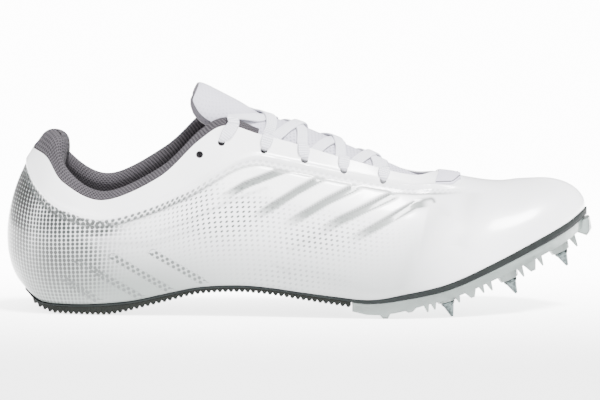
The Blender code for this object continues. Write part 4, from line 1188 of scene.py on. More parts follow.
    def faces(self, places: np.ndarray) -> list[tuple[int, ...]]:
        """Faces of the outer and inner walls, the foot and the rim."""
        count = len(places)
        rows, inner = self.rows, self.inner_rows
        start = count * rows
        closed = self.last.on_ridge(places + 0.5 / self.columns)
        faces = []
        for c in range(count):
            n = (c + 1) % count
            a, b = c * rows, n * rows
            for k in range(rows - 1):
                faces.append((a + k, b + k, b + k + 1, a + k + 1))
            p, q = start + c * inner, start + n * inner
            for k in range(inner - 1):
                faces.append((p + k, p + k + 1, q + k + 1, q + k))
            faces.append((a, p, q, b))
            if not closed[c]:
                faces.append((a + rows - 1, b + rows - 1, q + inner - 1, p + inner - 1))
        return faces

    def keep_marks(self, obj: bpy.types.Object, r: np.ndarray, v: np.ndarray, plain: np.ndarray,
                   climb: np.ndarray, inner: int) -> None:
        """Store what the material needs to know at each point.

        Args:
            obj: the upper, before its points are merged.
            r: places round the shoe, on the outer grid.
            v: heights up the section, on the outer grid.
            plain: points of the plain shell, on the outer grid.
            climb: lengths up each section, on the outer grid.
            inner: how many points the inner wall has.
        """
        x, z = self.seen(plain)
        middle = self.last.shell(r[:, :1], 0.5)[:, 0]
        steps = np.linalg.norm(np.roll(middle, -1, axis=0) - middle, axis=-1)
        round_way = np.concatenate([[0.0], np.cumsum(steps)[:-1]])[:, None] + 0.0 * climb
        from_edge = (v - self.last.read("panel", r)) * climb[:, -1:]
        panel = self.last.raised(r, v)
        distances = [line_distance(row, x, z) for row in QUARTER_ROWS]
        nearest = np.argmin(np.abs(np.stack([d for d, _ in distances])), axis=0)
        row_off = np.choose(nearest, [d for d, _ in distances]) * MM
        row_on = np.choose(nearest, [a for _, a in distances]) * MM
        step = np.clip(self.last.read("step", r), 0.0, 1.0)
        collar_part = smooth(9.6, 11.4, np.minimum(r, RING_SIZE - r))
        band = self.band_share(from_edge, x, z)
        near_row = (np.abs(row_off) < 0.003) * 1.0
        # the painted shade and tint of the lower side reach further towards the heel
        heelward = 1.0 - 0.30 * smooth(-80.0, 0.0, x)
        near_edge = (np.abs(from_edge + 0.0018) < 0.003) * step * (0.25 + 0.75 * collar_part)
        off_panel = (1.0 - panel) * smooth(-0.004, -0.002, -from_edge - 0.006)
        values = {
            "panel": panel,
            "band": band,
            "holes": clouds(PINHOLE_CLOUDS, x, z) * off_panel,
            "ink": clouds(INK_CLOUDS, x, z) * (1.0 - smooth(0.2, 0.8, panel)),
            # lower side: the side's own greenish tint and painted shade, darker towards the bottom
            "low_tint_and_shade": (1.0 - smooth(12.0, 52.0, z)) * (1.0 - smooth(40.0, 95.0, x)) * heelward,
            "marks": np.maximum(near_row, near_edge),
            # painted highlight on the raised windows, left off the bands
            "window_highlight": self.window_share(from_edge, x) * (1.0 - band),
            # painted shade under the panel's edge, above each band and in the creases
            "groove_and_painted_shade": self.shade_share(step, from_edge, x, z),
        }
        blank = np.zeros(inner)
        for name, grid in values.items():
            keep_value(obj, name, np.concatenate([grid.ravel(), blank]))
        keep_value(obj, "inside", np.concatenate([np.zeros(r.size), np.ones(inner)]))
        for name, along, up in (("skin_map", round_way, climb), ("edge_map", round_way, from_edge),
                                ("row_map", row_on, row_off)):
            keep_map(obj, name, np.concatenate([along.ravel(), blank]),
                     np.concatenate([up.ravel(), blank]))

    def punch(self, obj: bpy.types.Object) -> None:
        """Cut the eyelet holes with one round cutter each."""
        cutters = []
        for side in (1, -1):
            for place in EYELETS:
                r = np.array([side * place.section])
                v = np.array([place.height])
                centre = Vector(self.last.shell(r, v)[0])
                axis = Vector(self.last.normal(r, v)[0])
                bpy.ops.mesh.primitive_cylinder_add(
                    vertices=self.eyelet_sides, radius=self.eyelet_diameter / 2.0,
                    depth=8.0 * self.last.wall, location=centre,
                    rotation=axis.to_track_quat("Z", "Y").to_euler())
                cutters.append(bpy.context.object)
        bpy.ops.object.select_all(action="DESELECT")
        for cutter in cutters:
            cutter.select_set(True)
        bpy.context.view_layer.objects.active = cutters[0]
        bpy.ops.object.join()
        cutter = bpy.context.object
        cutter.data.materials.append(self.finishes.punched)
        change = obj.modifiers.new("punch", "BOOLEAN")
        change.operation = "DIFFERENCE"
        change.object = cutter
        change.solver = "EXACT"
        change.material_mode = "TRANSFER"
        only(obj)
        bpy.ops.object.modifier_apply(modifier=change.name)
        bpy.data.objects.remove(cutter)


class RollPoint(NamedTuple):
    """Point of the collar's padded roll."""

    rise: float
    depth: float


@dataclass
class Collar:
    """The padded collar: foam under knit, rolled over the upper's top edge."""

    last: Last
    finishes: Finishes
    columns: int = 12
    smoothing: int = 5

    PROFILE = (
        RollPoint(0.30, -0.03),
        RollPoint(0.68, 0.03),
        RollPoint(0.94, 0.26),
        RollPoint(1.00, 0.62),
        RollPoint(0.84, 1.02),
        RollPoint(0.36, 1.32),
    )

    def loops(self, r: np.ndarray) -> np.ndarray:
        """Closed sections of the collar at places r."""
        last = self.last
        roll, pad = (size[:, None] for size in collar_size(np.minimum(r, RING_SIZE - r)))
        edge = last.shell(r, 1.0)
        away = last.normal(r, 1.0)
        upward = unit(last.shell(r, 1.0) - last.shell(r, 0.97))
        skirt = last.read("panel", r) * 0.8
        clear = last.wall + last.gap

        def inside(v: np.ndarray, depth: np.ndarray) -> np.ndarray:
            """Points below the plain shell."""
            return last.shell(r, v) - last.normal(r, v) * depth

        points = [inside(skirt, clear), inside(0.5 * (skirt + 0.97), clear),
                  inside(0.97 + 0.0 * r, clear)]
        points.append(edge - away * clear + upward * last.gap)
        points.append(edge + away * (last.overlay * 0.9) + upward * last.gap)
        points += [edge - away * (pad * p.depth) + upward * (last.gap + roll * p.rise)
                   for p in self.PROFILE]
        points.append(inside(0.985 + 0.0 * r, clear + pad * 0.98))
        points.append(inside(0.5 * (0.985 + skirt), clear + pad * 0.80))
        points.append(inside(skirt, clear + pad * 0.30))
        return np.stack(points, axis=1)

    def build(self) -> bpy.types.Object:
        """Make the collar."""
        first = COLLAR_START
        last = RING_SIZE - COLLAR_START
        r = np.linspace(first, last, int((last - first) * self.columns) + 1)
        sections = [catmull(loop, self.smoothing, closed=True) for loop in self.loops(r)]
        count = len(sections[0])
        grid = np.stack(sections)
        obj = piece_from("collar_padding", grid.reshape(-1, 3),
                         tube_faces(len(sections), count, False))
        steps = np.linalg.norm(np.diff(grid[:, count // 2], axis=0), axis=-1)
        along = np.concatenate([[0.0], np.cumsum(steps)])[:, None] + np.zeros((1, count))
        around = np.linalg.norm(np.diff(grid, axis=1), axis=-1).mean(axis=0)
        up = np.concatenate([[0.0], np.cumsum(around)])[None, :] + 0.0 * along
        keep_map(obj, "skin_map", along, up)
        wear(obj, self.finishes.collar, 60.0)
        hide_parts("collar_lining")
        return obj


@dataclass
class Tongue:
    """The tongue: thin foam in mesh, tucked under the eyestays and free at its top."""

    last: Last
    finishes: Finishes
    start: float = 5.35
    overlap: float = 0.14
    tilt: float = math.radians(28.0)
    half_width: float = 0.0185
    drop: float = 0.0165
    tip_thickness: float = 0.0014
    top_thickness: float = 0.0056
    lace_room: float = 0.0010
    side_points: int = 2
    bridge_points: int = 7
    handle: float = 0.36
    stations: int = 11
    smoothing: int = 4
    # columns from each edge whose face takes the lining's dark colour as painted shade under the
    # eyestays
    shaded_columns: int = 6
    band_centre: float = 0.0002
    band_side: float = 0.0030

    RIM = ((0.0006, 0.82), (0.0010, 0.52), (0.0012, 0.18))

    def depth(self, r: float) -> float:
        """Depth of the tongue's face below the shell."""
        clear = self.last.wall + self.last.gap + self.lace_room
        under_collar = self.last.wall + 3.0 * self.last.gap + COLLAR_SIZE[0].pad
        share = min(max((r - (COLLAR_START - 1.0)) / 0.8, 0.0), 1.0)
        return clear + (under_collar - clear) * share

    def face(self, r: float) -> np.ndarray:
        """Outer face between and under the eyestays, from the outer to the inner side."""
        last = self.last
        depth = self.depth(r)
        under = 1.0 - self.overlap * (1.0 - np.arange(self.side_points) / self.side_points)
        sides = []
        edges = []
        for side in (1.0, -1.0):
            place = np.full(self.side_points, side * r)
            sides.append(last.shell(place, under) - last.normal(place, under) * depth)
            one = np.array([side * r])
            top = (last.shell(one, 1.0) - last.normal(one, 1.0) * depth)[0]
            edges.append((top, unit(last.shell(one, 1.0) - last.shell(one, 0.95))[0]))
        (start, start_way), (end, end_way) = edges
        pull = np.linalg.norm(end - start) * self.handle
        share = np.linspace(0.0, 1.0, self.bridge_points + 2)[:, None]
        w = 1.0 - share
        over = (w ** 3 * start + 3.0 * w * w * share * (start + start_way * pull)
                + 3.0 * w * share * share * (end + end_way * pull) + share ** 3 * end)
        return np.concatenate([sides[0], over, sides[1][::-1]])

    def top_face(self, row: TongueTop) -> np.ndarray:
        """Outer face above the eyestays, an arch across the ankle."""
        centre = np.array([row.x * self.last.length, 0.0, row.z * self.last.instep_height])
        centre = centre + self.last.shift
        front = np.array([math.sin(self.tilt), 0.0, math.cos(self.tilt)])
        count = 2 * self.side_points + self.bridge_points + 2
        angle = math.pi * (np.linspace(0.0, 1.0, count) - 0.5)
        sideways = np.sin(angle) * row.width * self.half_width
        across = np.stack([0.0 * angle, sideways, 0.0 * angle], axis=-1)
        return centre + across - front * ((1.0 - np.cos(angle)) * row.drop * self.drop)[:, None]

    def face_grid(self) -> np.ndarray:
        """Smooth grid of the outer face, row by row from the throat end to the top."""
        places = np.linspace(self.start, COLLAR_START, self.stations)
        rows = [self.face(float(r)) for r in places]
        rows += [self.top_face(row) for row in TONGUE_TOP]
        grid = np.stack(rows)
        across = np.stack([catmull(row, self.smoothing) for row in grid])
        return np.stack([catmull(line, self.smoothing) for line in across.swapaxes(0, 1)], axis=1)

    def build(self) -> bpy.types.Object:
        """Make the tongue."""
        grid = self.face_grid()
        rows, count = grid.shape[:2]
        ahead = np.gradient(grid, axis=0)
        across = np.gradient(grid, axis=1)
        normals = unit(np.cross(across, ahead))
        growth = np.minimum(np.arange(rows) / (rows * 0.75), 1.0)[:, None]
        end = np.clip((rows - 1 - np.arange(rows)) / 7.0, 0.0, 1.0)
        end = np.sqrt(end * 0.7 + 0.3)[:, None]
        side = np.minimum(np.arange(count), count - 1 - np.arange(count))[None, :] / 4.0
        edge = np.sqrt(np.clip(side, 0.12 + 0.5 * growth ** 4, 1.0))
        thick = self.tip_thickness + (self.top_thickness - self.tip_thickness) * growth
        thick = thick * edge * end
        crown = 0.35 * (1.0 - edge * end) * thick
        front = grid - normals * crown[..., None]
        back = grid - normals * (thick + crown)[..., None]
        loops = np.concatenate([front, back[:, ::-1]], axis=1)
        last_loop, way = loops[-1], unit(loops[-1] - loops[-2])
        middle = 0.5 * (last_loop + last_loop[::-1])
        rims = [middle + (last_loop - middle) * share + way * out for out, share in self.RIM]
        loops = np.concatenate([loops, np.stack(rims)])
        obj = piece_from("tongue_padding", loops.reshape(-1, 3),
                         tube_faces(len(loops), 2 * count, False))
        run = np.cumsum(np.linalg.norm(ahead, axis=-1), axis=0)
        wide = np.cumsum(np.linalg.norm(across, axis=-1), axis=1)
        # The lining's dark colour is painted on the face where it lies under the eyestays, as
        # painted shade seen through the eyelets; the band along the top and sides is the real
        # lining.
        front_lining_and_shade = np.zeros_like(run)
        covered = np.arange(rows) < (self.stations - 1) * self.smoothing
        hidden = np.minimum(np.arange(count), count - 1 - np.arange(count)) < self.shaded_columns
        front_lining_and_shade[covered[:, None] & hidden[None, :]] = 1.0
        outwards = np.abs(2.0 * np.arange(count) / (count - 1) - 1.0)[None, :]
        band = self.band_centre + (self.band_side - self.band_centre) * outwards ** 1.5
        inwards = np.minimum(wide - wide[:, :1], wide[:, -1:] - wide)
        inwards = inwards * (1.0 - covered[:, None]) + covered[:, None]
        past = np.maximum(band - run[-1:] + run, self.band_side - inwards)
        front_lining_and_shade = np.maximum(front_lining_and_shade, np.clip(0.5 + past / 0.001, 0.0, 1.0))
        lining = np.concatenate([front_lining_and_shade, np.ones_like(run)], axis=1)
        keep_value(obj, "lining", np.concatenate([lining, np.ones((len(rims), 2 * count))]))
        across_map = np.concatenate([wide, wide[:, ::-1]], axis=1)
        run_map = np.concatenate([run, run[:, ::-1]], axis=1)
        keep_map(obj, "skin_map", np.concatenate([across_map] + [across_map[-1:]] * len(rims)),
                 np.concatenate([run_map] + [run_map[-1:]] * len(rims)))
        wear(obj, self.finishes.tongue, 60.0)
        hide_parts("tongue")
        return obj


@dataclass
class ThroatStay:
    """The small stay of film over the throat's end, with its line of stitches."""

    last: Last
    finishes: Finishes
    start: float = 4.25
    end: float = 4.95
    height: float = 0.81
    thickness: float = 0.0008
    stations: int = 24
    half_points: int = 14
    stitch_count: int = 30
    stitch_length: float = 0.0013
    stitch_radius: float = 0.00022

    def low_edge(self, share: np.ndarray) -> np.ndarray:
        """Height of the stay's lower end from its front edge to its back edge."""
        rounding = 0.45 * (1.0 - smooth(0.0, 0.45, share)) ** 1.5
        return self.height + (1.0 - self.height) * rounding

    def build(self) -> list[bpy.types.Object]:
        """Make the stay and its stitches."""
        last = self.last
        share = np.linspace(0.0, 1.0, self.stations)
        loops = []
        for t in share:
            r = self.start + (self.end - self.start) * t
            low = float(self.low_edge(np.array([t]))[0])
            half = low + (1.0 - low) * np.linspace(0.0, 1.0, self.half_points + 1)
            v = np.concatenate([half, half[-2::-1]])
            place = np.where(np.arange(len(v)) <= self.half_points, r, -r)
            base, away = last.shell(place, v), last.normal(place, v)
            rim = np.minimum(np.arange(len(v)), len(v) - 1 - np.arange(len(v))) / 2.0
            full = np.sqrt(np.clip(rim, 0.3, 1.0)) * math.sqrt(min(max(3.0 * t, 0.3), 1.0))
            lower = base + away * (last.overlay * 0.6)
            upper = base + away * (last.overlay + last.gap + self.thickness * full[:, None])
            loops.append(np.concatenate([lower, upper[::-1]]))
        grid = np.stack(loops)
        obj = piece_from("throat_stay_film", grid.reshape(-1, 3),
                         tube_faces(len(loops), grid.shape[1], False))
        wear(obj, self.finishes.stay, 50.0)
        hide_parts("throat_stay")
        return [obj, self.stitches()]

    def stitches(self) -> bpy.types.Object:
        """One row of stitches round the stay's lower edge on both sides."""
        last = self.last
        t = np.linspace(0.04, 0.96, self.stitch_count)
        centres = []
        for side in (1.0, -1.0):
            r = side * (self.start + (self.end - self.start) * t)
            v = self.low_edge(t) + 0.018
            lift = last.overlay + last.gap + self.thickness
            centres.append(last.shell(r, v) + last.normal(r, v) * lift)
        parts = []
        for line in centres:
            for first, second in zip(line[:-1], line[1:]):
                turn = Vector(second - first).to_track_quat("X", "Z").to_euler()
                bpy.ops.mesh.primitive_uv_sphere_add(
                    segments=8, ring_count=5, radius=1.0, location=Vector((first + second) / 2.0),
                    rotation=turn,
                    scale=(self.stitch_length / 2.0, self.stitch_radius, self.stitch_radius))
                parts.append(bpy.context.object)
        return joined("throat_stay_stitches", parts, self.finishes.thread)


def joined(name: str, parts: list[bpy.types.Object], finish: bpy.types.Material) -> bpy.types.Object:
    """Join parts into one piece with its place in its mesh.

    Args:
        name: the piece's name.
        parts: the objects to join.
        finish: the material that they wear.

    Returns:
        The joined piece, riding the shoe.
    """
    bpy.ops.object.select_all(action="DESELECT")
    for part in parts:
        part.select_set(True)
    bpy.context.view_layer.objects.active = parts[0]
    bpy.ops.object.join()
    obj = bpy.context.object
    obj.name = name
    bpy.ops.object.transform_apply(location=True, rotation=True, scale=True)
    obj.data.materials.clear()
    obj.data.materials.append(finish)
    bpy.ops.object.shade_smooth_by_angle(angle=math.radians(40.0))
    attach(obj, ROOT_BODY)
    return obj


class Knot(NamedTuple):
    """A point on the lace's way: where it is, which way its flat face looks, and how wide it is."""

    point: np.ndarray
    face: np.ndarray
    width: float
    depth: float


@dataclass
class Lace:
    """One flat lace, crossed over the tongue and run through the eyelets, its ends inside."""

    last: Last
    finishes: Finishes
    tongue: Tongue
    width: float = 0.0054
    thickness: float = 0.0010
    clearance: float = 0.00015
    turn: float = 0.18
    squeeze: float = 0.58
    hole_rise: float = 0.014
    smoothing: int = 6

    LEANS = (0.0075, 0.0030, 0.0015, 0.0)
    TONGUE_SHARES = (0.14, 0.26, 0.38, 0.5, 0.62, 0.74, 0.86)
    FREE_FROM = 6

    SECTION = (
        (-1.0, 0.0), (-0.94, -0.36), (-0.6, -0.5), (0.0, -0.5), (0.6, -0.5), (0.94, -0.36),
        (1.0, 0.0), (0.94, 0.36), (0.6, 0.5), (0.0, 0.5), (-0.6, 0.5), (-0.94, 0.36),
    )

    def __post_init__(self) -> None:
        """Gather the tongue's face, which the crossings lie on."""
        grid = self.tongue.face_grid()
        rows, count = grid.shape[:2]
        crest = grid[:, count // 2]
        order = np.argsort(crest[:, 0])
        self.crest = (crest[order, 0], crest[order, 2])
        corners = [Vector(point) for point in grid.reshape(-1, 3)]
        quads = [(i * count + k, i * count + k + 1, (i + 1) * count + k + 1, (i + 1) * count + k)
                 for i in range(rows - 1) for k in range(count - 1)]
        self.surface = BVHTree.FromPolygons(corners, quads)
        self.laced = EYELETS[1:]

    def way(self, r: float) -> np.ndarray:
        """Direction in which the shell runs on past its throat edge."""
        one = np.array([r])
        return unit(self.last.shell(one, 1.0) - self.last.shell(one, 0.95))[0]

    def above(self, r: float, v: float, height: float) -> np.ndarray:
        """Point at a height above the plain shell."""
        one, two = np.array([r]), np.array([v])
        return (self.last.shell(one, two) + self.last.normal(one, two) * height)[0]

    def look(self, r: float, v: float) -> np.ndarray:
        """Outward normal of the shell."""
        return self.last.normal(np.array([r]), np.array([v]))[0]

    def hole(self, side: int, eyelet: EyeletPlace, height: float, flip: float, tilt: float) -> Knot:
        """Point of the lace in an eyelet, at a height above the shell.

        Args:
            side: 1 for the outer side, -1 for the inner side.
            eyelet: the eyelet.
            height: distance from the plain shell, inwards if negative.
            flip: which of the lace's faces looks up on this crossing, 1 or -1.
            tilt: share of the turn from edge-on to lying flat.

        Returns:
            The point.
        """
        r = side * eyelet.section
        v = eyelet.height + self.hole_rise
        face = unit(self.look(r, v) * tilt - self.way(r) * (1.0 - tilt)) * flip
        return Knot(self.above(r, v, height), face, self.squeeze, 1.25)

    def rim(self, r: float, height: float) -> list[Knot]:
        """Points over the upper's top edge, and over the collar's roll where it lies there."""
        place = abs(r)
        edge = self.above(r, 1.0, height)
        look = self.look(r, 1.0)
        if place <= COLLAR_START:
            return [Knot(edge, look, 1.0, 1.0)]
        roll, pad = (float(size) for size in collar_size(place))
        way = self.way(r)
        lift = self.last.gap + self.clearance + self.thickness / 2.0
        side = self.above(r, 1.0, height) + way * (roll * 0.55)
        top = self.above(r, 1.0, -pad * 0.45) + way * (roll + lift)
        return [Knot(edge, look, 1.0, 1.0), Knot(side, look, 1.0, 1.0),
                Knot(top, unit(look * 0.5 + way), 1.0, 1.0)]

    def over_tongue(self, start: np.ndarray, end: np.ndarray, lift: float, low: int) -> list[Knot]:
        """Points that lie on the tongue between two places on the eyestay edges.

        Args:
            start: where the lace leaves the first edge.
            end: where it meets the second edge.
            lift: extra height where it passes over another crossing.
            low: number of the eyelet where it starts, counted from the top.

        Returns:
            The points between the two edges.
        """
        middle = 0.5 * (start + end)
        reach = 0.012
        fall = np.interp([middle[0] - reach, middle[0] + reach], *self.crest)
        ridge = unit(np.array([(fall[0] - fall[1]) / (2.0 * reach), 0.0, 1.0]))
        knots = []
        for t in self.TONGUE_SHARES[:self.FREE_FROM if low == 1 else None]:
            base = start * (1.0 - t) + end * t
            base[0] += self.LEANS[low - 1] * math.sin(math.pi * t)
            hit, normal, _, _ = self.surface.ray_cast(Vector(base + ridge * 0.05), Vector(-ridge))
            if hit is None:
                continue
            face = np.array(normal if normal.dot(Vector(ridge)) > 0.0 else -normal)
            bump = lift * math.exp(-((t - 0.5) / 0.17) ** 2)
            height = self.thickness / 2.0 + self.clearance + bump
            knots.append(Knot(np.array(hit) + face * height, face, 1.0, 1.0))
        return knots

    def crossing(self, side: int, low: int, flip: float, lift: float) -> list[Knot]:
        """Stretch from an eyelet, over the tongue, to the next eyelet up on the other side.

        Args:
            side: 1 where it starts on the outer side, -1 on the inner side.
            low: number of the eyelet where it starts, counted from the top.
            flip: which of the lace's faces looks up, 1 or -1.
            lift: extra height where it passes over another crossing.

        Returns:
            Points from the inside of one eyelet to the inside of the other.
        """
        start, end = self.laced[low], self.laced[low - 1]
        last = self.last
        over = last.overlay + self.thickness / 2.0 + self.clearance
        under = -(last.wall + self.thickness / 2.0 + self.clearance)
        goes_over = low == 1
        shift = self.turn * (end.section - start.section)
        rise = 0.0 if goes_over else 0.6 * shift
        first, second = side * (start.section + rise), -side * (end.section - shift)
        knots = [self.hole(side, start, under - 0.0006, flip, 0.0),
                 self.hole(side, start, over * 0.6, flip, 0.25)]
        half_r = side * (start.section + 0.5 * rise)
        half_v = 0.5 * (start.height + 1.0)
        knots.append(Knot(self.above(half_r, half_v, over + 0.0002),
                          self.look(half_r, half_v), 1.0, 1.0))
        knots += self.rim(first, over)
        far = self.rim(second, over) if goes_over else [
            Knot(self.above(second, 1.0, under), self.look(second, 1.0), 1.0, 1.0)]
        knots += self.over_tongue(knots[-1].point, far[-1].point, lift, low)
        knots += far[::-1]
        back_r = -side * (end.section - 0.5 * shift)
        back_v = 0.5 * (end.height + 1.0)
        height = over + 0.0002 if goes_over else under
        knots.append(Knot(self.above(back_r, back_v, height), self.look(back_r, back_v), 1.0, 1.0))
        if goes_over:
            knots.append(self.hole(-side, end, over * 0.6, flip, 0.25))
            knots.append(self.hole(-side, end, under - 0.0006, flip, 0.0))
        return knots

    def bar(self, flip: float) -> list[Knot]:
        """Straight stretch under the eyestays between the two lowest eyelets."""
        bottom = self.laced[-1]
        under = -(self.last.wall + self.thickness / 2.0 + self.last.gap)
        knots = []
        for share in np.linspace(0.0, 1.0, 7):
            r = bottom.section
            v = 0.5 * (bottom.height + 1.0)
            start, end = self.above(r, v, under), self.above(-r, v, under)
            point = start * (1.0 - share) + end * share
            crest = float(np.interp(point[0], *self.crest)) + self.thickness
            point[2] += max(crest - max(start[2], end[2]), 0.0) * math.sin(math.pi * share)
            face = unit(self.look(r, v) * (1.0 - share) + self.look(-r, v) * share)
            knots.append(Knot(point, face * flip, 0.96, 1.0))
        return knots

    def climb(self, side: int, flip: float, lift: float) -> list[Knot]:
        """Crossings from a lowest eyelet up to the top, changing sides at each one."""
        knots = []
        for low in range(len(self.laced) - 1, 0, -1):
            knots += self.crossing(side, low, flip, lift)
            side, flip = -side, -flip
        return knots

    def route(self) -> list[Knot]:
        """The whole lace from one hidden end to the other."""
        side = -1 if len(self.laced) % 2 == 0 else 1
        first = self.climb(side, 1.0, 0.0)
        second = self.climb(-side, -1.0, self.thickness + self.clearance)
        bar = self.bar(1.0)
        if first[0].point[1] >= second[0].point[1]:
            bar = bar[::-1]
        return first[::-1] + bar + second

    def build(self) -> bpy.types.Object:
        """Make the lace."""
        knots = self.route()
        line = catmull(np.array([k.point for k in knots]), self.smoothing)
        raw = np.array([k.face for k in knots])
        for k in range(1, len(raw)):
            if np.dot(raw[k], raw[k - 1]) < 0.0:
                raw[k] *= -1.0
        face = unit(catmull(raw, self.smoothing))
        sizes = catmull(np.array([[k.width, k.depth] for k in knots]), self.smoothing)
        ahead = unit(np.gradient(line, axis=0))
        across = unit(np.cross(ahead, face))
        above = unit(np.cross(across, ahead))
        section = np.array(self.SECTION)
        half = (section[:, 0] * self.width / 2.0)[None, :, None]
        deep = (section[:, 1] * self.thickness)[None, :, None]
        loops = (line[:, None, :] + across[:, None, :] * half * sizes[:, :1, None]
                 + above[:, None, :] * deep * sizes[:, 1:, None])
        count = len(section)
        obj = piece_from("lace_flat_woven", loops.reshape(-1, 3),
                         tube_faces(len(line), count, False))
        steps = np.linalg.norm(np.diff(line, axis=0), axis=-1)
        run = np.concatenate([[0.0], np.cumsum(steps)])[:, None]
        wide = half[..., 0]
        keep_map(obj, "skin_map", run + 0.0 * wide, wide + 0.0 * run)
        wear(obj, self.finishes.lace, 50.0)
        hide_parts("lace")
        return obj


@dataclass
class Footbed:
    """The insole: a thin cupped footbed under cloth."""

    last: Last
    finishes: Finishes
    thickness: float = 0.0030
    cup: float = 0.0012
    stations: int = 110
    across: int = 13

    def build(self) -> bpy.types.Object:
        """Make the footbed inside the CAD insole's own box."""
        last = self.last
        low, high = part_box("insole")
        t = 0.5 - 0.5 * np.cos(np.pi * np.linspace(0.0, 1.0, self.stations))
        x = low[0] + 0.0001 + (high[0] - low[0] - 0.0002) * t
        room = last.wall + 2.0 * last.gap + 0.0005
        outer = last.edge_y(-1, x, room)
        inner = last.edge_y(1, x, room)
        share = np.linspace(0.0, 1.0, self.across)[None, :]
        y = outer[:, None] + (inner - outer)[:, None] * share
        rim = np.abs(2.0 * share - 1.0)
        base = last.sole_height(x)[:, None] + last.gap
        dip = self.cup * (1.0 - rim ** 4) * np.sin(np.pi * t)[:, None] ** 0.3
        top = base + self.thickness - dip
        top = np.where(rim > 0.999, base + self.thickness * 0.6, top)
        upper = np.stack([x[:, None] + 0.0 * y, y, top], axis=-1)
        lower = np.stack([x[:, None] + 0.0 * y, y, base + 0.0 * y], axis=-1)
        loops = np.concatenate([upper, lower[:, ::-1]], axis=1)
        obj = piece_from("footbed_cloth_top", loops.reshape(-1, 3),
                         tube_faces(self.stations, 2 * self.across, False))
        wear(obj, self.finishes.footbed, 50.0)
        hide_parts("insole")
        return obj


@dataclass
class FoamStrip:
    """The thin foam midsole, which shows as a dark strip round the shoe."""

    last: Last
    finishes: Finishes
    stations: int = 220

    SIDE = ((0.0, 0.35), (0.12, 0.9), (0.5, 1.0), (0.88, 0.9), (1.0, 0.35))

    def build(self) -> bpy.types.Object:
        """Make the strip with softly rounded edges."""
        last = self.last
        low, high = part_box("midsole")
        t = 0.5 - 0.5 * np.cos(np.pi * np.linspace(0.0, 1.0, self.stations))
        x = low[0] + (high[0] - low[0]) * t
        top, under = last.sole_height(x), last.sole_under(x)
        loops = []
        for side in (-1, 1):
            edge = last.edge_y(side, x, -last.reveal)
            inner = last.edge_y(side, x, 0.0)
            for fall, out in (self.SIDE if side == 1 else self.SIDE[::-1]):
                y = inner + (edge - inner) * out
                loops.append(np.stack([x, y, top + (under - top) * fall], axis=-1))
        grid = np.stack(loops, axis=1)
        obj = piece_from("midsole_foam_strip", grid.reshape(-1, 3),
                         tube_faces(self.stations, grid.shape[1], False))
        wear(obj, self.finishes.foam, 40.0)
        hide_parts("midsole")
        return obj


@dataclass
class SpikePin:
    """A screw-in steel pin: a flange with two flats, and a cone with turned rings."""

    last: Last
    finishes: Finishes
    node: str
    flange_radius: float = 0.0033
    flange: float = 0.0010
    cone: float = 0.0062
    base_radius: float = 0.0030
    tip_radius: float = 0.0006
    shank: float = 0.0030
    shank_radius: float = 0.0020
    edge_bevel: float = 0.0002
    flange_sides: int = 6
    sides: int = 32

    def frame(self) -> tuple[Vector, Vector]:
        """Middle of the tip and the direction that the pin points, from its CAD node."""
        corners = np.array([corner.co[:] for corner in bpy.data.objects[self.node].data.vertices])
        middle = 0.5 * (corners.min(axis=0) + corners.max(axis=0))
        step = 0.001
        ahead, behind = (self.last.sole_height(middle[0] + way) for way in (step, -step))
        down = np.array([float(ahead - behind) / (2.0 * step), 0.0, -1.0])
        down /= np.linalg.norm(down)
        reach = corners @ down
        tip = corners[reach > reach.max() - 0.0001].mean(axis=0)
        return Vector(tip), Vector(down)

    def build(self) -> bpy.types.Object:
        """Make the pin from a flange, a cone and rings."""
        tip, down = self.frame()
        turn = down.to_track_quat("Z", "Y").to_euler()
        parts = []
        back = tip - down * (self.cone + 0.5 * self.flange)
        bpy.ops.mesh.primitive_cylinder_add(
            vertices=self.flange_sides, radius=self.flange_radius, depth=self.flange,
            location=back, rotation=turn)
        parts.append(bpy.context.object)
        bevel = parts[0].modifiers.new("edge", "BEVEL")
        bevel.width = self.edge_bevel
        bevel.segments = 2
        only(parts[0])
        bpy.ops.object.modifier_apply(modifier=bevel.name)
        for share, depth, start, end in (
                (0.04, 0.08, self.base_radius, self.base_radius * 0.96),
                (0.54, 0.92, self.base_radius * 0.86, self.tip_radius)):
            centre = tip - down * (self.cone * (1.0 - share))
            bpy.ops.mesh.primitive_cone_add(vertices=self.sides, radius1=start, radius2=end,
                                            depth=self.cone * depth, location=centre, rotation=turn)
            parts.append(bpy.context.object)
        shank = tip - down * (self.cone + self.flange + self.shank / 2.0)
        bpy.ops.mesh.primitive_cylinder_add(vertices=self.sides, radius=self.shank_radius,
                                            depth=self.shank, location=shank, rotation=turn)
        parts.append(bpy.context.object)
        obj = joined(self.node + "_turned", parts, self.finishes.steel)
        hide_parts(self.node)
        return obj


class Dressed(Enum):
    """CAD nodes that stay as they are and take a better finish."""

    RUBBER = "outsole_rubber"
    PLATE = "spike_plate"


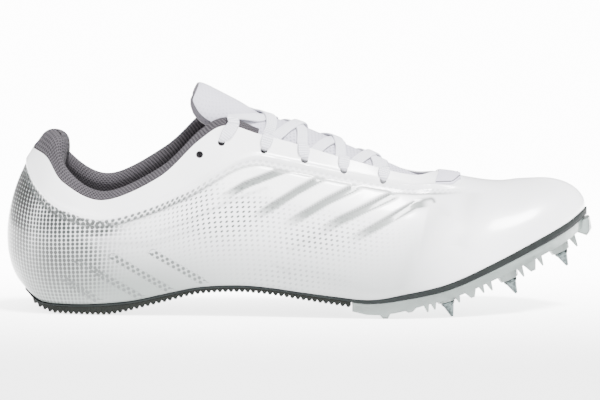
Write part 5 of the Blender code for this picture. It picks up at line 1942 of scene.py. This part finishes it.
@dataclass
class Studio:
    """A pale table that glows behind the shoe, soft lights and the photo's camera."""

    floor_size: float = 30.0
    floor_colour: str = "#FBFBFB"
    floor_shade: str = "#F6F6F6"
    air_strength: float = 0.7
    glow: float = 9.0
    glow_start: float = -0.22
    glow_full: float = 0.25

    def build(self) -> None:
        """Set the stage."""
        bpy.ops.object.select_all(action="DESELECT")
        bpy.ops.mesh.primitive_plane_add(size=self.floor_size, location=(0.0, 8.0, 0.0))
        floor = bpy.context.object
        floor.name = "studio_floor"
        only(floor)
        bpy.ops.object.transform_apply(location=True, rotation=True, scale=True)
        made = Finish("acrylic_table_frosted")
        base = made.blotched(made.noise(400.0), 0.4, 0.7, 0.2, self.floor_colour,
                             self.floor_shade)
        glow = made.ramp(made.axis(1), self.glow_start, self.glow_full, 0.0, self.glow)
        made.set(Base_Color=base, Roughness=0.9, Specular_IOR_Level=0.1,
                 Emission_Color=(1.0, 1.0, 1.0, 1.0), Emission_Strength=glow)
        floor.data.materials.append(made.material)
        self.light()
        self.camera()

    def light(self) -> None:
        """Soft daylight all round, a key from above and a broad fill from the front."""
        world = bpy.data.worlds.new("studio_air")
        world.use_nodes = True
        air = world.node_tree.nodes["Background"]
        air.inputs["Color"].default_value = (1.0, 1.0, 1.0, 1.0)
        air.inputs["Strength"].default_value = self.air_strength
        bpy.context.scene.world = world
        for name, turn, strength, spread in (("key_sun", (15.0, 20.0, 0.0), 12.0, 18.0),
                                             ("front_sun", (60.0, 0.0, 14.0), 4.2, 60.0)):
            lamp = bpy.data.lights.new(name, "SUN")
            lamp.energy = strength
            lamp.angle = math.radians(spread)
            holder = bpy.data.objects.new(name, lamp)
            holder.rotation_euler = [math.radians(a) for a in turn]
            bpy.context.scene.collection.objects.link(holder)

    def camera(self) -> None:
        """Place the camera square on the outer side, a little above."""
        lens = bpy.data.cameras.new("photo_camera")
        lens.sensor_width = SENSOR
        lens.lens = SENSOR * CAMERA_DISTANCE / PHOTO_WIDTH_AT_SHOE
        lens.clip_end = 100.0
        holder = bpy.data.objects.new("photo_camera", lens)
        x, y, z = CAMERA_TARGET
        holder.location = (x, y - CAMERA_DISTANCE * math.cos(CAMERA_ELEVATION),
                           z + CAMERA_DISTANCE * math.sin(CAMERA_ELEVATION))
        holder.rotation_euler = (math.pi / 2.0 - CAMERA_ELEVATION, 0.0, 0.0)
        bpy.context.scene.collection.objects.link(holder)
        bpy.context.scene.camera = holder


def main() -> None:
    """Build and dress the shoe."""
    logging.basicConfig(level=logging.INFO, format="%(name)s: %(message)s")
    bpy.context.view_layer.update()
    bpy.ops.object.select_all(action="DESELECT")
    Studio().build()
    last = Last()
    finishes = Finishes()
    tongue = Tongue(last, finishes)
    makers = [
        Upper(last, finishes),
        Collar(last, finishes),
        tongue,
        ThroatStay(last, finishes),
        Lace(last, finishes, tongue),
        Footbed(last, finishes),
        FoamStrip(last, finishes),
    ]
    makers += [SpikePin(last, finishes, node)
               for node in sorted(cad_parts) if "spike_pin" in node]
    for maker in makers:
        maker.build()
        LOG.info("%s made", type(maker).__name__)
    for node, finish in ((Dressed.RUBBER, finishes.rubber), (Dressed.PLATE, finishes.plate)):
        obj = bpy.data.objects[node.value]
        obj.data.materials.clear()
        obj.data.materials.append(finish)


if __name__ == "__main__":
    main()
